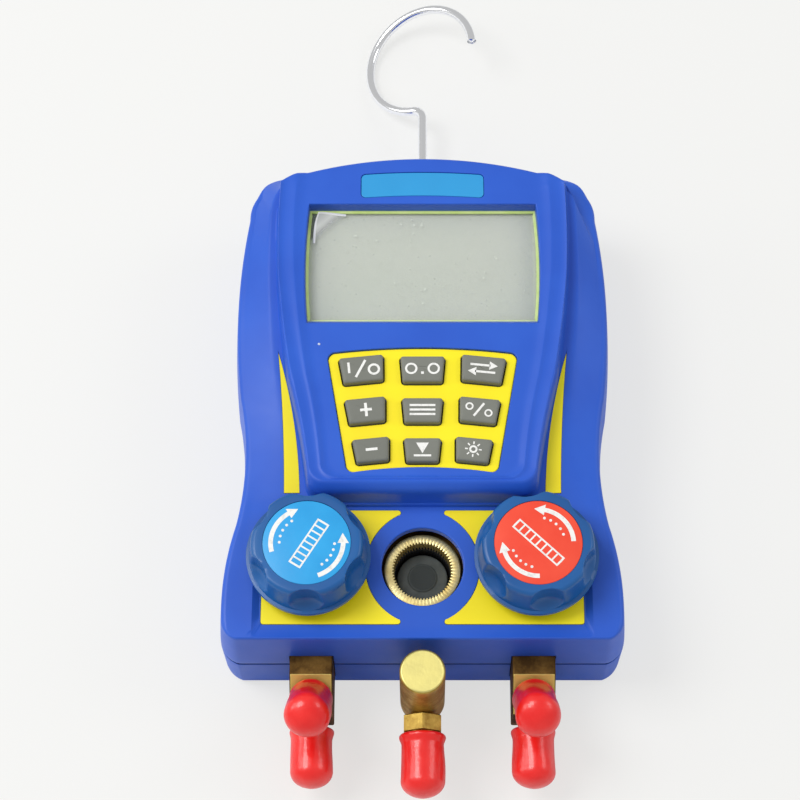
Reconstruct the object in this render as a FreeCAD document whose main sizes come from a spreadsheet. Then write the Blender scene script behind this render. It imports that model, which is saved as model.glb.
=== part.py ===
# Digital refrigerant manifold gauge, lying on its back.
# Millimetres. +X right, +Y towards the hook, +Z out of the display; Z 0 is the flat of the back cover.
import FreeCAD, Part
import math
import os
import re

import Sketcher
from FreeCAD import Placement, Rotation, Vector

SIZES = {
    # Housing outline at the parting plane, from the end face with the ports up to the crown
    "end_y": 82, "end_corner": 5.5, "foot_rise": 7, "foot_half": 60.5, "hip_half": 57.1, "hip_y": 44.6,
    "chest_half": 57, "chest_y": 4, "shoulder_half": 56, "shoulder_y": 58, "crown_half": 45, "crown_y": 72.5,
    "corner_bulge": 1.35, "foot_bulge": 1.3, "waist_bulge": 2.15, "side_bulge": 2.2, "shoulder_bulge": 3.4,
    "crown_bulge": 3,
    # How far a feature runs into its neighbour, and a cutter past the face that it opens
    "lap": 0.1,
    # Housing levels and walls
    "back_edge": 1.4, "back_inset": 1.4, "parting": 19, "deck": 38, "rim": 39.5, "rim_inset": 1.5,
    "roof": 45.2, "bevel": 46.5, "panel": 48.5, "rail": 49.3, "wall": 2.6, "back_wall": 3, "deck_wall": 2.5,
    # Shoulders: a plane that rises towards the hook
    "shoulder_level": 41.9, "shoulder_tilt": 3, "slope_foot": 44.5, "slope_waist": 44, "slope_chest": 46.5,
    "slope_top": 47, "slope_crown": 39, "slope_low_y": 34, "slope_waist_y": 10, "slope_chest_y": 14,
    "slope_high_y": 62, "slope_crown_y": 69, "slope_start_y": 37,
    # Raised panel between the two rails
    "panel_low_y": 37.5, "panel_corner": 5, "panel_foot": 34.5, "panel_mid": 40.7, "panel_mid_y": 0,
    "panel_high": 44.6, "panel_high_y": 35, "panel_ear_y": 66.5, "ear_width": 8.5, "ear_rise": 3.4,
    "panel_crown": 5, "panel_waist_bulge": 0.5, "panel_side_bulge": 0.4, "panel_draft": 0.7,
    "bevel_width": 2.6,
    "rail_width": 4.2, "rail_waist": 1, "rail_foot": 1.4, "sunk_foot": 0.5,
    # Display
    "window_half": 36.3, "window_low": 19.2, "window_high": 58.3, "window_bulge": 1, "window_rim": 1.8,
    "window_floor": 43.5, "pane_lap": 1.2, "pane_thick": 1, "guide_width": 0.8, "guide_thick": 0.5,
    "cell_thick": 1.4, "board_thick": 1.6, "board_half": 39.3, "board_foot": 28.5, "board_step_y": 22,
    "board_high": 65, "board_low": 32.5, "board_post": 1.9, "post_x": 37.3, "post_high": 61.4,
    "post_low": 29.6,
    "post_foot_x": 26, "board_screw": 1, "board_screw_head": 1.7, "board_screw_head_thick": 1.2,
    "board_screw_length": 5,
    # Badge plate
    "badge_half": 19.3, "badge_low": 60.5, "badge_high": 69, "badge_arch": 0.7, "badge_round": 1.5,
    "badge_depth": 0.8, "badge_thick": 0.65,
    # Keypad
    "plate_high": 7.3, "plate_low": 31.7, "plate_top_half": 28.7, "plate_foot_half": 22.9, "plate_arch": 1.6,
    "plate_round": 2.4, "plate_depth": 1.6, "plate_thick": 0.85, "key_gap": 0.4, "key_top": 49.9,
    "key_foot": 42.1,
    "key_lip": 0.9, "key_lip_thick": 1.3, "key_lip_gap": 0.3, "key_taper": 0.6,
    "key_row_high": 1.3, "key_row_mid": -12.2, "key_row_low": -25, "key_wide_high": 17.9,
    "key_wide_mid": 16.6,
    "key_wide_low": 14.8, "key_length_high": 13.3, "key_length_mid": 12.1, "key_length_low": 10.9,
    "key_width_high": 8.5, "key_width_mid": 8, "key_width_low": 7.6, "key_turn": 6,
    # Lower deck and its inlays
    "deck_high_y": 38.6, "deck_low_y": 77.2, "deck_half": 49.5, "inlay_high_y": 39.9, "inlay_low_y": 75.6,
    "inlay_half": 47.5, "inlay_tip": 6.4, "inlay_tip_width": 1.5, "inlay_bulge": 10.4, "inlay_depth": 0.7,
    "inlay_thick": 0.9, "inlay_hole": 9, "inlay_cut": 12, "stripe_tip_x": 44.3, "stripe_tip_y": 10.9, "stripe_low_y": 35.3,
    "stripe_in": 36.7, "stripe_out": 41.5, "stripe_in_bulge": 1.5, "stripe_out_bulge": 0.5,
    "stripe_depth": 0.5, "stripe_thick": 0.65, "inlay_gap": 0.1,
    # Manifold, valves and sight glass
    "valve_x": 33.5, "valve_y": 56.2, "port_x": 33, "port_z": 19.75, "block_half": 43, "block_depth": 25,
    "block_height": 20, "bore": 5.5, "seat_z": 17.3, "seat_hole": 2, "gallery_z": 13.8, "passage": 2.5,
    "gallery_plug": 3.5, "gallery_plug_length": 4, "piston_gap": 0.08, "piston_top": 25, "pivot": 2,
    "pivot_depth": 2.6, "spindle": 3, "run_gap": 0.05, "bonnet_flange": 7.5, "bonnet_neck": 5.5,
    "bonnet_flange_thick": 4.2, "bonnet_top": 39.4, "bonnet_shank": 2.4, "ring_thick": 0.88, "ring_z": 20.6,
    "ring_gap": 0.03, "glass_y": 57.6, "glass_ring": 11.5, "glass_ring_hole": 8.5, "glass_ring_top": 34,
    "glass_edge": 0.6,
    "glass_tooth": 0.36, "tooth_count": 60, "well": 9.4, "well_floor": 22, "well_wall": 1.2,
    "well_top": 29.6,
    "well_base": 1.2, "lens": 7.6, "lens_thick": 3, "lens_z": 24.6, "seal_thick": 0.6, "glass_recess": 12.1,
    # Knobs
    "knob": 18.3, "knob_z": 42.8, "knob_skirt": 1.8, "knob_grip": 16, "knob_height": 12.4, "knob_edge": 1.2,
    "knob_hub_depth": 9.6, "knob_hollow": 12.6, "knob_hub": 6, "knob_roof": 8, "scallop": 7.4,
    "scallop_reach": 21.7, "scallop_count": 6, "label": 12.8, "label_depth": 0.6, "label_gap": 0.1,
    "label_thick": 0.5,
    "knob_turn": 9,
    # Ports
    "stub": 12.8, "bar_reach": 15.3, "bar_gap": 0.25, "elbow_tilt": 35, "elbow_back": 5.75,
    "bar_foot": 6.65, "slant_y": 87.2, "hose_z": 12.9,
    "shank": 3.6, "shank_gap": 0.04, "shank_length": 1.6, "thread": 5.556, "thread_length": 11.2,
    "flare": 3.4,
    "flare_length": 2.2, "port_bore": 2.4, "barrel": 5,
    "elbow_collar_length": 0.6, "hose_neck": 4.3, "hose_neck_length": 2.9,
    "hex_flats": 11,
    "collar": 5.2, "plug_y": 91.7, "plug": 6.65, "plug_low": 13, "plug_top": 45, "plug_chamfer": 0.5,
    "neck": 5.5, "neck_gap": 0.25, "plug_hex_length": 5.3, "plug_socket": 4,
    # Vinyl caps
    "cap": 6.5, "cap_mouth": 7, "cap_skirt": 3, "cap_length": 18.6, "cap_gap": 0.06, "cap_depth": 14.6,
    "cap_dome": 4.6, "cap_lip": 0.8, "cap_tip": 0.25, "cap_round": 1.2, "cap_stop": 0.4,
    # Hook
    "hook_wire": 1.5, "hook_radius": 19.6, "hook_bend": 4, "hook_end": 262, "hook_tip": 5, "hook_top": 111.1,
    "hook_z": 11.4, "hook_turn": 27.7, "hook_head": 2.8, "hook_head_length": 3, "hook_head_gap": 0.3,
    "bush_low": 62, "bush_length": 10, "bush_half": 6, "bush_top": 17, "hook_hole": 1.75,
    # Battery and its door
    "cell_width": 26.5, "cell_length": 48.5, "cell_height": 17.5, "cell_low": 4.2, "cell_z": 2,
    "cell_gap": 0.4,
    "clip_thick": 3.2, "clip_height": 13, "pen_wall": 1.6, "pen_top": 15, "door_lap": 2.4,
    "door_rebate": 1.8,
    "door_recess": 0.2, "door_thick": 1.5, "door_gap": 0.25,
    # Pressure sensors
    "sensor_x": 20, "sensor": 8.5, "sensor_length": 12, "sensor_stem": 4, "sensor_stem_length": 4,
    "stem_gap": 0.04,
    # Cover screws and supports
    "screw_foot_x": 50.5, "screw_foot_y": 71.5, "screw_waist_x": 47.5, "screw_waist_y": 20,
    "screw_top_x": 44,
    "screw_top_y": 61, "boss": 3.4, "screw": 1.25, "screw_gap": 0.02, "screw_head": 2.6,
    "screw_head_thick": 1.8,
    "screw_sink": 4, "screw_length": 22, "screw_clear": 1.5, "saddle_x": 16, "saddle_half": 4,
    "saddle_inset": 1,
    "stay_x": 21, "stay_y": 49, "stay_half": 2.2,
}
QUARTER = 1 - math.sqrt(0.5)    # height of a quarter circle's arc over its chord, per radius
FUNCTIONS = ("sin", "cos", "tan", "sqrt", "deg")
WORD = re.compile(r"[a-z_]\w*")

doc = FreeCAD.newDocument("manifold_gauge")
sheet = doc.addObject("Spreadsheet::Sheet", "sizes")
for row, (name, size) in enumerate(SIZES.items(), start=1):
    sheet.set(f"A{row}", str(size))
    sheet.setAlias(f"A{row}", name)
doc.recompute()

pieces = []


def bound(text):
    """The expression for a formula written with the names in SIZES."""
    return WORD.sub(lambda word: word[0] if word[0] in FUNCTIONS else "sizes." + word[0], str(text))


def value(text):
    return float(sheet.evalExpression(bound(text)))


def bind(thing, **formulas):
    for name, text in formulas.items():
        thing.setExpression(name.replace("__", "."), bound(text))
    return thing


def place(thing, x="0", y="0", z="0"):
    return bind(thing, Placement__Base__x=x, Placement__Base__y=y, Placement__Base__z=z)


def keep(thing, label):
    thing.Label = label
    pieces.append(thing)
    return thing


def new_body(label):
    return keep(doc.addObject("PartDesign::Body", label), label)


# Sketches are lists of corners (x, y, bulge): the bulge is how far the run that leaves the
# corner bows to the right of its chord, and None is a straight run.

def mirrored(right, foot=None):
    """A closed outline from the corners of its right side, listed upwards."""
    left = []
    for number in range(len(right) - 1, -1, -1):
        x, y = right[number][:2]
        left.append((f"-({x})", y, right[number - 1][2] if number else foot))
    return right + left


def draw(sketch, corners, side=1, closed=True):
    points = [Vector(side * value(x), value(y), 0) for x, y, _ in corners]
    runs = len(points) if closed else len(points) - 1
    first = len(sketch.Geometry)
    ends = []
    for run in range(runs):
        start, end = points[run], points[(run + 1) % len(points)]
        bulge = corners[run][2]
        if bulge is None:
            sketch.addGeometry(Part.LineSegment(start, end), False)
        else:
            chord = end - start
            right = Vector(chord.y, -chord.x, 0).normalize() * side * value(bulge)
            sketch.addGeometry(Part.Arc(start, (start + end) / 2 + right, end), False)
        from_first = (sketch.getPoint(first + run, 1) - start).Length
        from_second = (sketch.getPoint(first + run, 2) - start).Length
        ends.append((2, 1) if from_first > from_second else (1, 2))
    for run in range(runs):
        after = (run + 1) % len(points)
        if after < runs:
            joint = Sketcher.Constraint("Coincident", first + run, ends[run][1], first + after,
                                        ends[after][0])
            sketch.addConstraint(joint)
    for number, (x, y, _) in enumerate(corners):
        run = min(number, runs - 1)
        end = ends[run][0] if number < runs else ends[run][1]
        for kind, text, at in (("DistanceX", f"{side} * ({x})", points[number].x),
                               ("DistanceY", y, points[number].y)):
            index = sketch.addConstraint(Sketcher.Constraint(kind, -1, 1, first + run, end, at))
            sketch.setExpression(f"Constraints[{index}]", bound(text))
    for run in range(runs):
        x, y, bulge = corners[run]
        if bulge is not None:
            next_x, next_y, _ = corners[(run + 1) % len(points)]
            height = f"sqrt(({bulge})^2)"
            chord = f"(({next_x}) - ({x}))^2 + (({next_y}) - ({y}))^2"
            radius = f"({chord}) / (8 * {height}) + {height} / 2"
            index = sketch.addConstraint(Sketcher.Constraint("Radius", first + run, value(radius)))
            sketch.setExpression(f"Constraints[{index}]", bound(radius))


def draw_circle(sketch, x, y, radius):
    first = len(sketch.Geometry)
    centre = Vector(value(x), value(y), 0)
    sketch.addGeometry(Part.Circle(centre, Vector(0, 0, 1), value(radius)), False)
    for kind, text, at in (("DistanceX", x, centre.x), ("DistanceY", y, centre.y)):
        index = sketch.addConstraint(Sketcher.Constraint(kind, -1, 1, first, 3, at))
        sketch.setExpression(f"Constraints[{index}]", bound(text))
    index = sketch.addConstraint(Sketcher.Constraint("Radius", first, value(radius)))
    sketch.setExpression(f"Constraints[{index}]", bound(radius))


def new_sketch(body, name, level="0", role="XY_Plane", tilt=None):
    sketch = body.newObject("Sketcher::SketchObject", name)
    plane = [feature for feature in body.Origin.OriginFeatures if feature.Role == role][0]
    sketch.AttachmentSupport = [(plane, "")]
    sketch.MapMode = "FlatFace"
    if tilt:
        sketch.AttachmentOffset = Placement(Vector(), Rotation(Vector(1, 0, 0), value(tilt)))
        bind(sketch, AttachmentOffset__Rotation__Angle=tilt)
    return bind(sketch, AttachmentOffset__Base__z=level)


def outline(body, name, corners, level="0", role="XY_Plane", tilt=None):
    sketch = new_sketch(body, name, level, role, tilt)
    draw(sketch, corners)
    return sketch


def feature(body, kind, name, sketch, **settings):
    made = body.newObject("PartDesign::" + kind, name)
    made.Profile = sketch
    made.Refine = False
    for key, setting in settings.items():
        setattr(made, key, setting)
    return made


def pad(body, name, sketch, length, reverse=False):
    return bind(feature(body, "Pad", name, sketch, Reversed=reverse), Length=length)


def cut(body, name, sketch, depth, reverse=False):
    """Cuts against the sketch's normal, or along it when reversed."""
    return bind(feature(body, "Pocket", name, sketch, Reversed=reverse), Length=depth)


def loft(body, name, sketches):
    return feature(body, "AdditiveLoft", name, sketches[0],
                   Sections=[(sketch, [""]) for sketch in sketches[1:]],
                   Ruled=True)


def turn(body, name, corners, kind="Revolution", role="XZ_Plane", axis="V_Axis"):
    sketch = outline(body, name + "_profile", corners, role=role)
    return feature(body, kind, name, sketch, ReferenceAxis=(sketch, [axis]), Angle=360)


def box_corners(half, low, high):
    return [(half, low, None), (half, high, None), (f"-({half})", high, None), (f"-({half})", low, None)]


def rounded(half, low, high, radius, foot_half=None, arch=None):
    """A rectangle or upright trapezoid about X 0 with quarter rounds; arch bows its top and foot."""
    foot_half = foot_half or half
    bend = f"{QUARTER} * ({radius})"
    right = [(f"({foot_half}) - ({radius})", low, bend), (foot_half, f"({low}) + ({radius})", None),
             (half, f"({high}) - ({radius})", bend), (f"({half}) - ({radius})", high, arch)]
    return mirrored(right, None if arch is None else f"-({arch})")


def cylinder(name, radius, height, x="0", y="0", z="0", axis=None):
    made = bind(doc.addObject("Part::Cylinder", name), Radius=radius, Height=height)
    if axis:
        made.Placement = Placement(Vector(), Rotation(Vector(0, 0, 1), axis))
    return place(made, x, y, z)


def block(name, length, width, height, x, y, z):
    made = bind(doc.addObject("Part::Box", name), Length=length, Width=width, Height=height)
    return place(made, x, y, z)


def join(name, parts):
    made = doc.addObject("Part::MultiFuse", name)
    made.Shapes = parts
    return made


# Outlines shared by the covers and what lies in them

def housing(inset):
    i = f"({inset})"
    return mirrored([
        (f"foot_half - end_corner - {i}", f"{i} - end_y", "corner_bulge"),
        (f"foot_half - {i}", "foot_rise - end_y", "foot_bulge"),
        (f"hip_half - {i}", "-hip_y", "-waist_bulge"),
        (f"chest_half - {i}", "-chest_y", "side_bulge"),
        (f"shoulder_half - {i}", "shoulder_y", "shoulder_bulge"),
        (f"crown_half - {i} / 2", f"crown_y - {i}", "crown_bulge"),
    ])


def raised_panel(inset, low):
    i = f"({inset})"
    return mirrored([
        (f"panel_foot - panel_corner - {i}", low, f"{QUARTER} * panel_corner"),
        (f"panel_foot - {i}", f"({low}) + panel_corner", "-panel_waist_bulge"),
        (f"panel_mid - {i}", "-panel_mid_y", "panel_side_bulge"),
        (f"panel_high - {i}", "panel_high_y", "panel_side_bulge"),
        (f"panel_high - {i}", f"panel_ear_y - {i}", f"{QUARTER} * ear_rise"),
        (f"panel_high - ear_width - {i} / 2", f"panel_ear_y + ear_rise - {i}", "panel_crown"),
    ])


def slope_top():
    return mirrored([
        ("slope_foot", "-slope_low_y", None),
        ("slope_waist", "-slope_waist_y", None),
        ("slope_chest", "slope_chest_y", "side_bulge / 8"),
        ("slope_top", "slope_high_y", "shoulder_bulge / 2"),
        ("slope_crown", "slope_crown_y", "crown_bulge"),
    ])


def slope_foot():
    i = "rim_inset"
    start = f"hip_half - {i} - waist_bulge / 2"
    return mirrored([
        (start, "-slope_start_y", None),
        (f"chest_half - {i} - waist_bulge / 2", "-slope_waist_y", None),
        (f"chest_half - {i}", "slope_chest_y", "side_bulge / 2"),
        (f"shoulder_half - {i}", "shoulder_y", "shoulder_bulge"),
        (f"crown_half - {i} / 2", f"crown_y - {i}", "crown_bulge"),
    ])


def window(inset):
    i = f"({inset})"
    side = "window_half - window_bulge"
    return mirrored([(f"{side} - {i}", f"window_low + {i}", "window_bulge"),
                     (f"{side} - {i}", f"window_high - {i}", None)])


def keypad(inset):
    i = f"({inset})"
    return rounded(f"plate_top_half - {i}", f"{i} - plate_low", f"plate_high - {i}", "plate_round",
                   f"plate_foot_half - {i}", "plate_arch")


def stripe(inset):
    i = f"({inset})"
    return [(f"stripe_in + {i}", f"{i} - stripe_low_y", None),
            (f"stripe_out - {i}", f"{i} - stripe_low_y", "-stripe_out_bulge"),
            (f"stripe_tip_x - 2.4 * {i}", f"stripe_tip_y - 12 * {i}", "stripe_in_bulge")]


def inlay(inset):
    i = f"({inset})"
    return [(f"inlay_tip + {i}", f"{i} - inlay_low_y", None),
            (f"inlay_half - {i}", f"{i} - inlay_low_y", None),
            (f"inlay_half - {i}", "-inlay_high_y - inlay_cut", None),
            ("inlay_half - inlay_cut", f"-inlay_high_y - {i}", None),
            (f"inlay_tip + {i}", f"-inlay_high_y - {i}", None),
            (f"inlay_tip + {i}", f"-inlay_high_y - inlay_tip_width", f"-(inlay_bulge + {i})"),
            (f"inlay_tip + {i}", f"inlay_tip_width - inlay_low_y", None)]


KEYS = {}
for row, high in (("high", 1), ("mid", 0), ("low", -1)):
    for column, across in (("left", -1), ("middle", 0), ("right", 1)):
        KEYS[f"{column}_{row}"] = (row, across)


def key_corners(row, across, grow):
    """A key's outline in the keypad's plane, turned a little in the outer columns."""
    g = f"({grow})"
    half = f"(key_length_{row} / 2 + {g})"
    rise = f"(key_width_{row} / 2 + {g})"
    taper = "key_taper"
    angle = f"{-across} * key_turn * 1 deg"
    local = [(f"({half} - {taper})", f"-{rise}"), (half, rise), (f"-{half}", rise),
             (f"-({half} - {taper})", f"-{rise}")]
    return [(f"{across} * key_wide_{row} + ({x}) * cos({angle}) - ({y}) * sin({angle})",
             f"key_row_{row} + ({x}) * sin({angle}) + ({y}) * cos({angle})", None) for x, y in local]


SCREWS = [(f"{side} * screw_{spot}_x", f"{sign}screw_{spot}_y") for side in (1, -1)
          for spot, sign in (("foot", "-"), ("waist", "-"), ("top", ""))]
POSTS = [(f"{side} * {x}", y) for side in (1, -1) for x,
         y in (("post_x", "post_high"), ("post_foot_x", "-post_low"))]
BLOCK_FRONT = "(valve_y + block_depth / 2)"
BLOCK_TOP = "(port_z + block_height / 2)"
BLOCK_FOOT = "(port_z - block_height / 2)"
BAR_END = "(end_y + bar_reach)"
BAR_TOP = "(port_z + stub / 2)"
BOARD_TOP = "(window_floor - pane_thick - cell_thick - lap)"


def front_cover():
    body = new_body("front_cover")
    loft(body, "skirt", [outline(body, "skirt_foot", housing("0"), "parting"),
                         outline(body, "skirt_rim", housing("rim_inset"), "rim")])
    loft(body, "shoulders", [outline(body, "slope_rim", slope_foot(), "rim - sunk_foot"),
                             outline(body, "slope_crest", slope_top(), "shoulder_level",
                                     tilt="shoulder_tilt")])
    loft(body, "panel_block", [
        outline(body, "panel_base", raised_panel("-panel_draft", "-panel_low_y - panel_draft"),
                "deck - sunk_foot"),
        outline(body, "panel_bevel", raised_panel("0", "-panel_low_y"), "bevel"),
        outline(body, "panel_top", raised_panel("panel_draft", "bevel_width - panel_low_y"), "rail")])
    middle = mirrored([
        ("panel_foot - panel_corner - rail_width", "bevel_width - panel_low_y + rail_foot",
         f"{QUARTER} * panel_corner"),
        ("panel_foot - rail_width", "bevel_width - panel_low_y + panel_corner + rail_foot",
         "-panel_waist_bulge"),
        ("panel_mid - rail_width - rail_waist", "-panel_mid_y", "panel_side_bulge"),
        ("panel_high - rail_width", "panel_high_y", "panel_side_bulge"),
        ("panel_high - ear_width", "crown_y + crown_bulge * 2", None)])
    cut(body, "middle_cut", outline(body, "middle_edge", middle, "rail"), "rail - panel")
    # Lower deck, sunk between its side frames, and the hollow inside
    deck = rounded("deck_half", "-deck_low_y", "-deck_high_y", "badge_round")
    cut(body, "deck_cut", outline(body, "deck_edge", deck, "rim"), "rim - deck")
    hollow = outline(body, "hollow_edge", housing("wall + rim_inset"), "parting")
    cut(body, "hollow", hollow, "deck - deck_wall - parting", reverse=True)
    loft_hollow = outline(body, "upper_edge", raised_panel("wall", "wall - panel_low_y"),
                          "deck - deck_wall - lap")
    cut(body, "upper_hollow", loft_hollow, "roof - deck + deck_wall + lap", reverse=True)
    bosses = new_sketch(body, "boss_circles", "parting")
    for x, y in SCREWS:
        draw_circle(bosses, x, y, "boss")
    pad(body, "bosses", bosses, "deck - deck_wall - parting + lap")
    stays = new_sketch(body, "stay_squares", BLOCK_TOP)
    for side in (1, -1):
        draw(stays, [("stay_x - stay_half", "-stay_y - stay_half", None),
                     ("stay_x + stay_half", "-stay_y - stay_half", None),
                     ("stay_x + stay_half", "stay_half - stay_y", None),
                     ("stay_x - stay_half", "stay_half - stay_y", None)], side)
    pad(body, "stays", stays, f"deck - deck_wall - {BLOCK_TOP} + lap")
    posts = new_sketch(body, "post_circles", BOARD_TOP)
    for x, y in POSTS:
        draw_circle(posts, x, y, "board_post")
    pad(body, "posts", posts, f"roof - {BOARD_TOP} + lap")
    pad(body, "window_collar", outline(body, "collar_edge", window("-window_rim"), "window_floor"),
        "roof - window_floor + lap")
    # Openings in the front
    cut(body, "window_cut", outline(body, "window_edge", window("0"), "rail"), "rail - window_floor + 1")
    badge = rounded("badge_half", "badge_low", "badge_high", "badge_round", arch="badge_arch")
    cut(body, "badge_cut", outline(body, "badge_edge", badge, "panel"), "badge_depth")
    cut(body, "keypad_cut", outline(body, "keypad_edge", keypad("0"), "panel"), "plate_depth")
    holes = new_sketch(body, "key_holes", "panel")
    for row, across in KEYS.values():
        draw(holes, key_corners(row, across, "key_gap"))
    cut(body, "keys_cut", holes, "panel - roof + 1")
    inlays = new_sketch(body, "inlay_edges", "deck")
    stripes = new_sketch(body, "stripe_edges", "shoulder_level", tilt="shoulder_tilt")
    wells = new_sketch(body, "well_circles", "deck")
    draw_circle(wells, "0", "-glass_y", "glass_recess")
    for side in (1, -1):
        draw(inlays, inlay("0"), side)
        draw(stripes, stripe("0"), side)
        draw_circle(wells, f"{side} * valve_x", "-valve_y", "bonnet_neck + bar_gap")
    cut(body, "inlays_cut", inlays, "inlay_depth")
    cut(body, "stripes_cut", stripes, "stripe_depth")
    cut(body, "wells_cut", wells, "deck_wall + 1")
    port_openings(body, upper=True)
    pilots = new_sketch(body, "pilot_circles", "parting")
    for x, y in SCREWS:
        draw_circle(pilots, x, y, "screw + screw_gap")
    cut(body, "pilots", pilots, "screw_sink + screw_length - parting + 2", reverse=True)
    board_pilots = new_sketch(body, "board_pilots", BOARD_TOP)
    for x, y in POSTS:
        draw_circle(board_pilots, x, y, "board_screw + screw_gap")
    cut(body, "board_pilot_holes", board_pilots, "board_screw_length - board_thick + 0.3", reverse=True)


def port_openings(body, upper):
    """The part of each port's opening that this cover has in its end face."""
    slots = new_sketch(body, "slot_squares", "parting")
    for side in (1, -1):
        draw(slots, [("port_x - stub / 2 - bar_gap", "-end_y - 1", None),
                     ("port_x + stub / 2 + bar_gap", "-end_y - 1", None),
                     ("port_x + stub / 2 + bar_gap", "wall * 2 - end_y", None),
                     ("port_x - stub / 2 - bar_gap", "wall * 2 - end_y", None)], side)
    reach = f"{BAR_TOP} + bar_gap - parting" if upper else "parting - bar_foot + bar_gap"
    cut(body, "slots", slots, reach, reverse=upper)
    neck = new_sketch(body, "neck_circle", "end_y + 1", "XZ_Plane")
    draw_circle(neck, "0", "port_z", "neck + neck_gap")
    cut(body, "neck_hole", neck, "wall * 2 + 1")


def back_cover():
    body = new_body("back_cover")
    loft(body, "tray", [outline(body, "tray_flat", housing("back_inset")),
                        outline(body, "tray_edge", housing("back_inset / 5"), "back_edge"),
                        outline(body, "tray_rim", housing("0"), "parting")])
    cut(body, "hollow", outline(body, "hollow_edge", housing("wall + back_inset / 5"), "parting"),
        "parting - back_wall")
    bosses = new_sketch(body, "boss_circles", "back_wall - lap")
    for x, y in SCREWS:
        draw_circle(bosses, x, y, "boss")
    pad(body, "bosses", bosses, "parting - back_wall + lap")
    saddles = new_sketch(body, "saddle_boxes", "back_wall - lap")
    low, high = f"saddle_inset - {BLOCK_FRONT}", "block_depth / 2 - valve_y - saddle_inset"
    for side in (1, -1):
        draw(saddles, [("saddle_x - saddle_half", low, None), ("saddle_x + saddle_half", low, None),
                       ("saddle_x + saddle_half", high, None), ("saddle_x - saddle_half", high, None)], side)
    pad(body, "saddles", saddles, f"{BLOCK_FOOT} - back_wall + lap")
    pen = new_sketch(body, "pen_walls", "back_wall - lap")
    draw(pen, box_corners("cell_width / 2 + cell_gap + pen_wall", "cell_low - cell_gap - pen_wall",
                          "cell_low + cell_length + clip_thick + cell_gap * 2 + pen_wall"))
    pad(body, "pen", pen, "pen_top - back_wall + lap")
    inside = new_sketch(body, "pen_inside", "pen_top")
    draw(inside, box_corners("cell_width / 2 + cell_gap", "cell_low - cell_gap",
                             "cell_low + cell_length + clip_thick + cell_gap * 2"))
    cut(body, "pen_hollow", inside, "pen_top + 1")
    rebate = outline(body, "rebate_edge", door_edge("0"), "0")
    cut(body, "rebate", rebate, "door_rebate", reverse=True)
    port_openings(body, upper=False)
    hook_hole = new_sketch(body, "hook_circle", "-crown_y - crown_bulge - 2", "XZ_Plane")
    draw_circle(hook_hole, "0", "hook_z", "hook_hole")
    cut(body, "hook_opening", hook_hole, "wall * 2 + crown_bulge + 2", reverse=True)
    clear = new_sketch(body, "screw_circles", "0")
    sink = new_sketch(body, "sink_circles", "0")
    for x, y in SCREWS:
        draw_circle(clear, x, y, "screw_clear")
        draw_circle(sink, x, y, "screw_head + bar_gap")
    cut(body, "screw_holes", clear, "parting + 1", reverse=True)
    cut(body, "screw_sinks", sink, "screw_sink + screw_head_thick", reverse=True)


def door_edge(inset):
    i = f"({inset})"
    return rounded(f"cell_width / 2 + cell_gap + door_lap - {i}", f"cell_low - cell_gap - door_lap + {i}",
                   f"cell_low + cell_length + clip_thick + cell_gap * 2 + door_lap - {i}", "badge_round")


def battery_door():
    body = new_body("battery_door")
    pad(body, "plate", outline(body, "plate_edge", door_edge("door_gap"), "door_recess"), "door_thick")


def battery():
    can = block("battery_can", "cell_width", "cell_length", "cell_height", "-cell_width / 2", "cell_low",
                "cell_z")
    keep(can, "battery")
    clip = block("clip_bar", "cell_width - 2", "clip_thick", "clip_height", "1 - cell_width / 2",
                 "cell_low + cell_length + lap", "cell_z + (cell_height - clip_height) / 2")
    keep(clip, "battery_clip")


def cover_screws():
    made = []
    for number, (x, y) in enumerate(SCREWS):
        head = cylinder(f"cover_head_{number}", "screw_head", "screw_head_thick", x, y, "screw_sink")
        stem = cylinder(f"cover_stem_{number}", "screw", "screw_length", x, y, "screw_sink")
        made.append(join(f"cover_screw_{number}", [head, stem]))
    group = doc.addObject("Part::Compound", "cover_screws")
    group.Links = made
    keep(group, "cover_screws")


def board_screws():
    made = []
    foot = f"{BOARD_TOP} - board_thick"
    for number, (x, y) in enumerate(POSTS):
        head = cylinder(f"board_head_{number}", "board_screw_head", "board_screw_head_thick", x, y,
                        f"{foot} - board_screw_head_thick")
        stem = cylinder(f"board_stem_{number}", "board_screw", "board_screw_length", x, y, foot)
        made.append(join(f"board_screw_{number}", [head, stem]))
    group = doc.addObject("Part::Compound", "board_screws")
    group.Links = made
    keep(group, "board_screws")


def display():
    pane = new_body("display_window")
    pad(pane, "sheet", outline(pane, "sheet_edge", window("-pane_lap"), "window_floor - pane_thick"),
        "pane_thick")
    guide = new_body("light_guide")
    pad(guide, "frame", outline(guide, "frame_edge", window("0.05"), "window_floor"), "guide_thick")
    cut(guide, "frame_hole", outline(guide, "hole_edge", window("guide_width"),
                                     "window_floor + guide_thick"), "guide_thick * 2")
    panel = new_body("display_panel")
    pad(panel, "glass", outline(panel, "glass_edge", window("0.2"),
                                "window_floor - pane_thick - cell_thick"), "cell_thick")
    board = new_body("circuit_board")
    corners = mirrored([("board_foot", "-board_low", None),
                        ("board_foot", "board_step_y - board_half + board_foot", None),
                        ("board_half", "board_step_y", None), ("board_half", "board_high", None)])
    pad(board, "plate", outline(board, "plate_edge", corners, f"{BOARD_TOP} - board_thick"), "board_thick")
    holes = new_sketch(board, "screw_circles", BOARD_TOP)
    for x, y in POSTS:
        draw_circle(holes, x, y, "board_screw + lap")
    cut(board, "screw_holes", holes, "board_thick * 2")


def badge_plate():
    body = new_body("badge_plate")
    edge = rounded("badge_half - 0.15", "badge_low + 0.15", "badge_high - 0.15", "badge_round",
                   arch="badge_arch")
    pad(body, "plate", outline(body, "plate_edge", edge, "panel - badge_depth"), "badge_thick")


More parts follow.
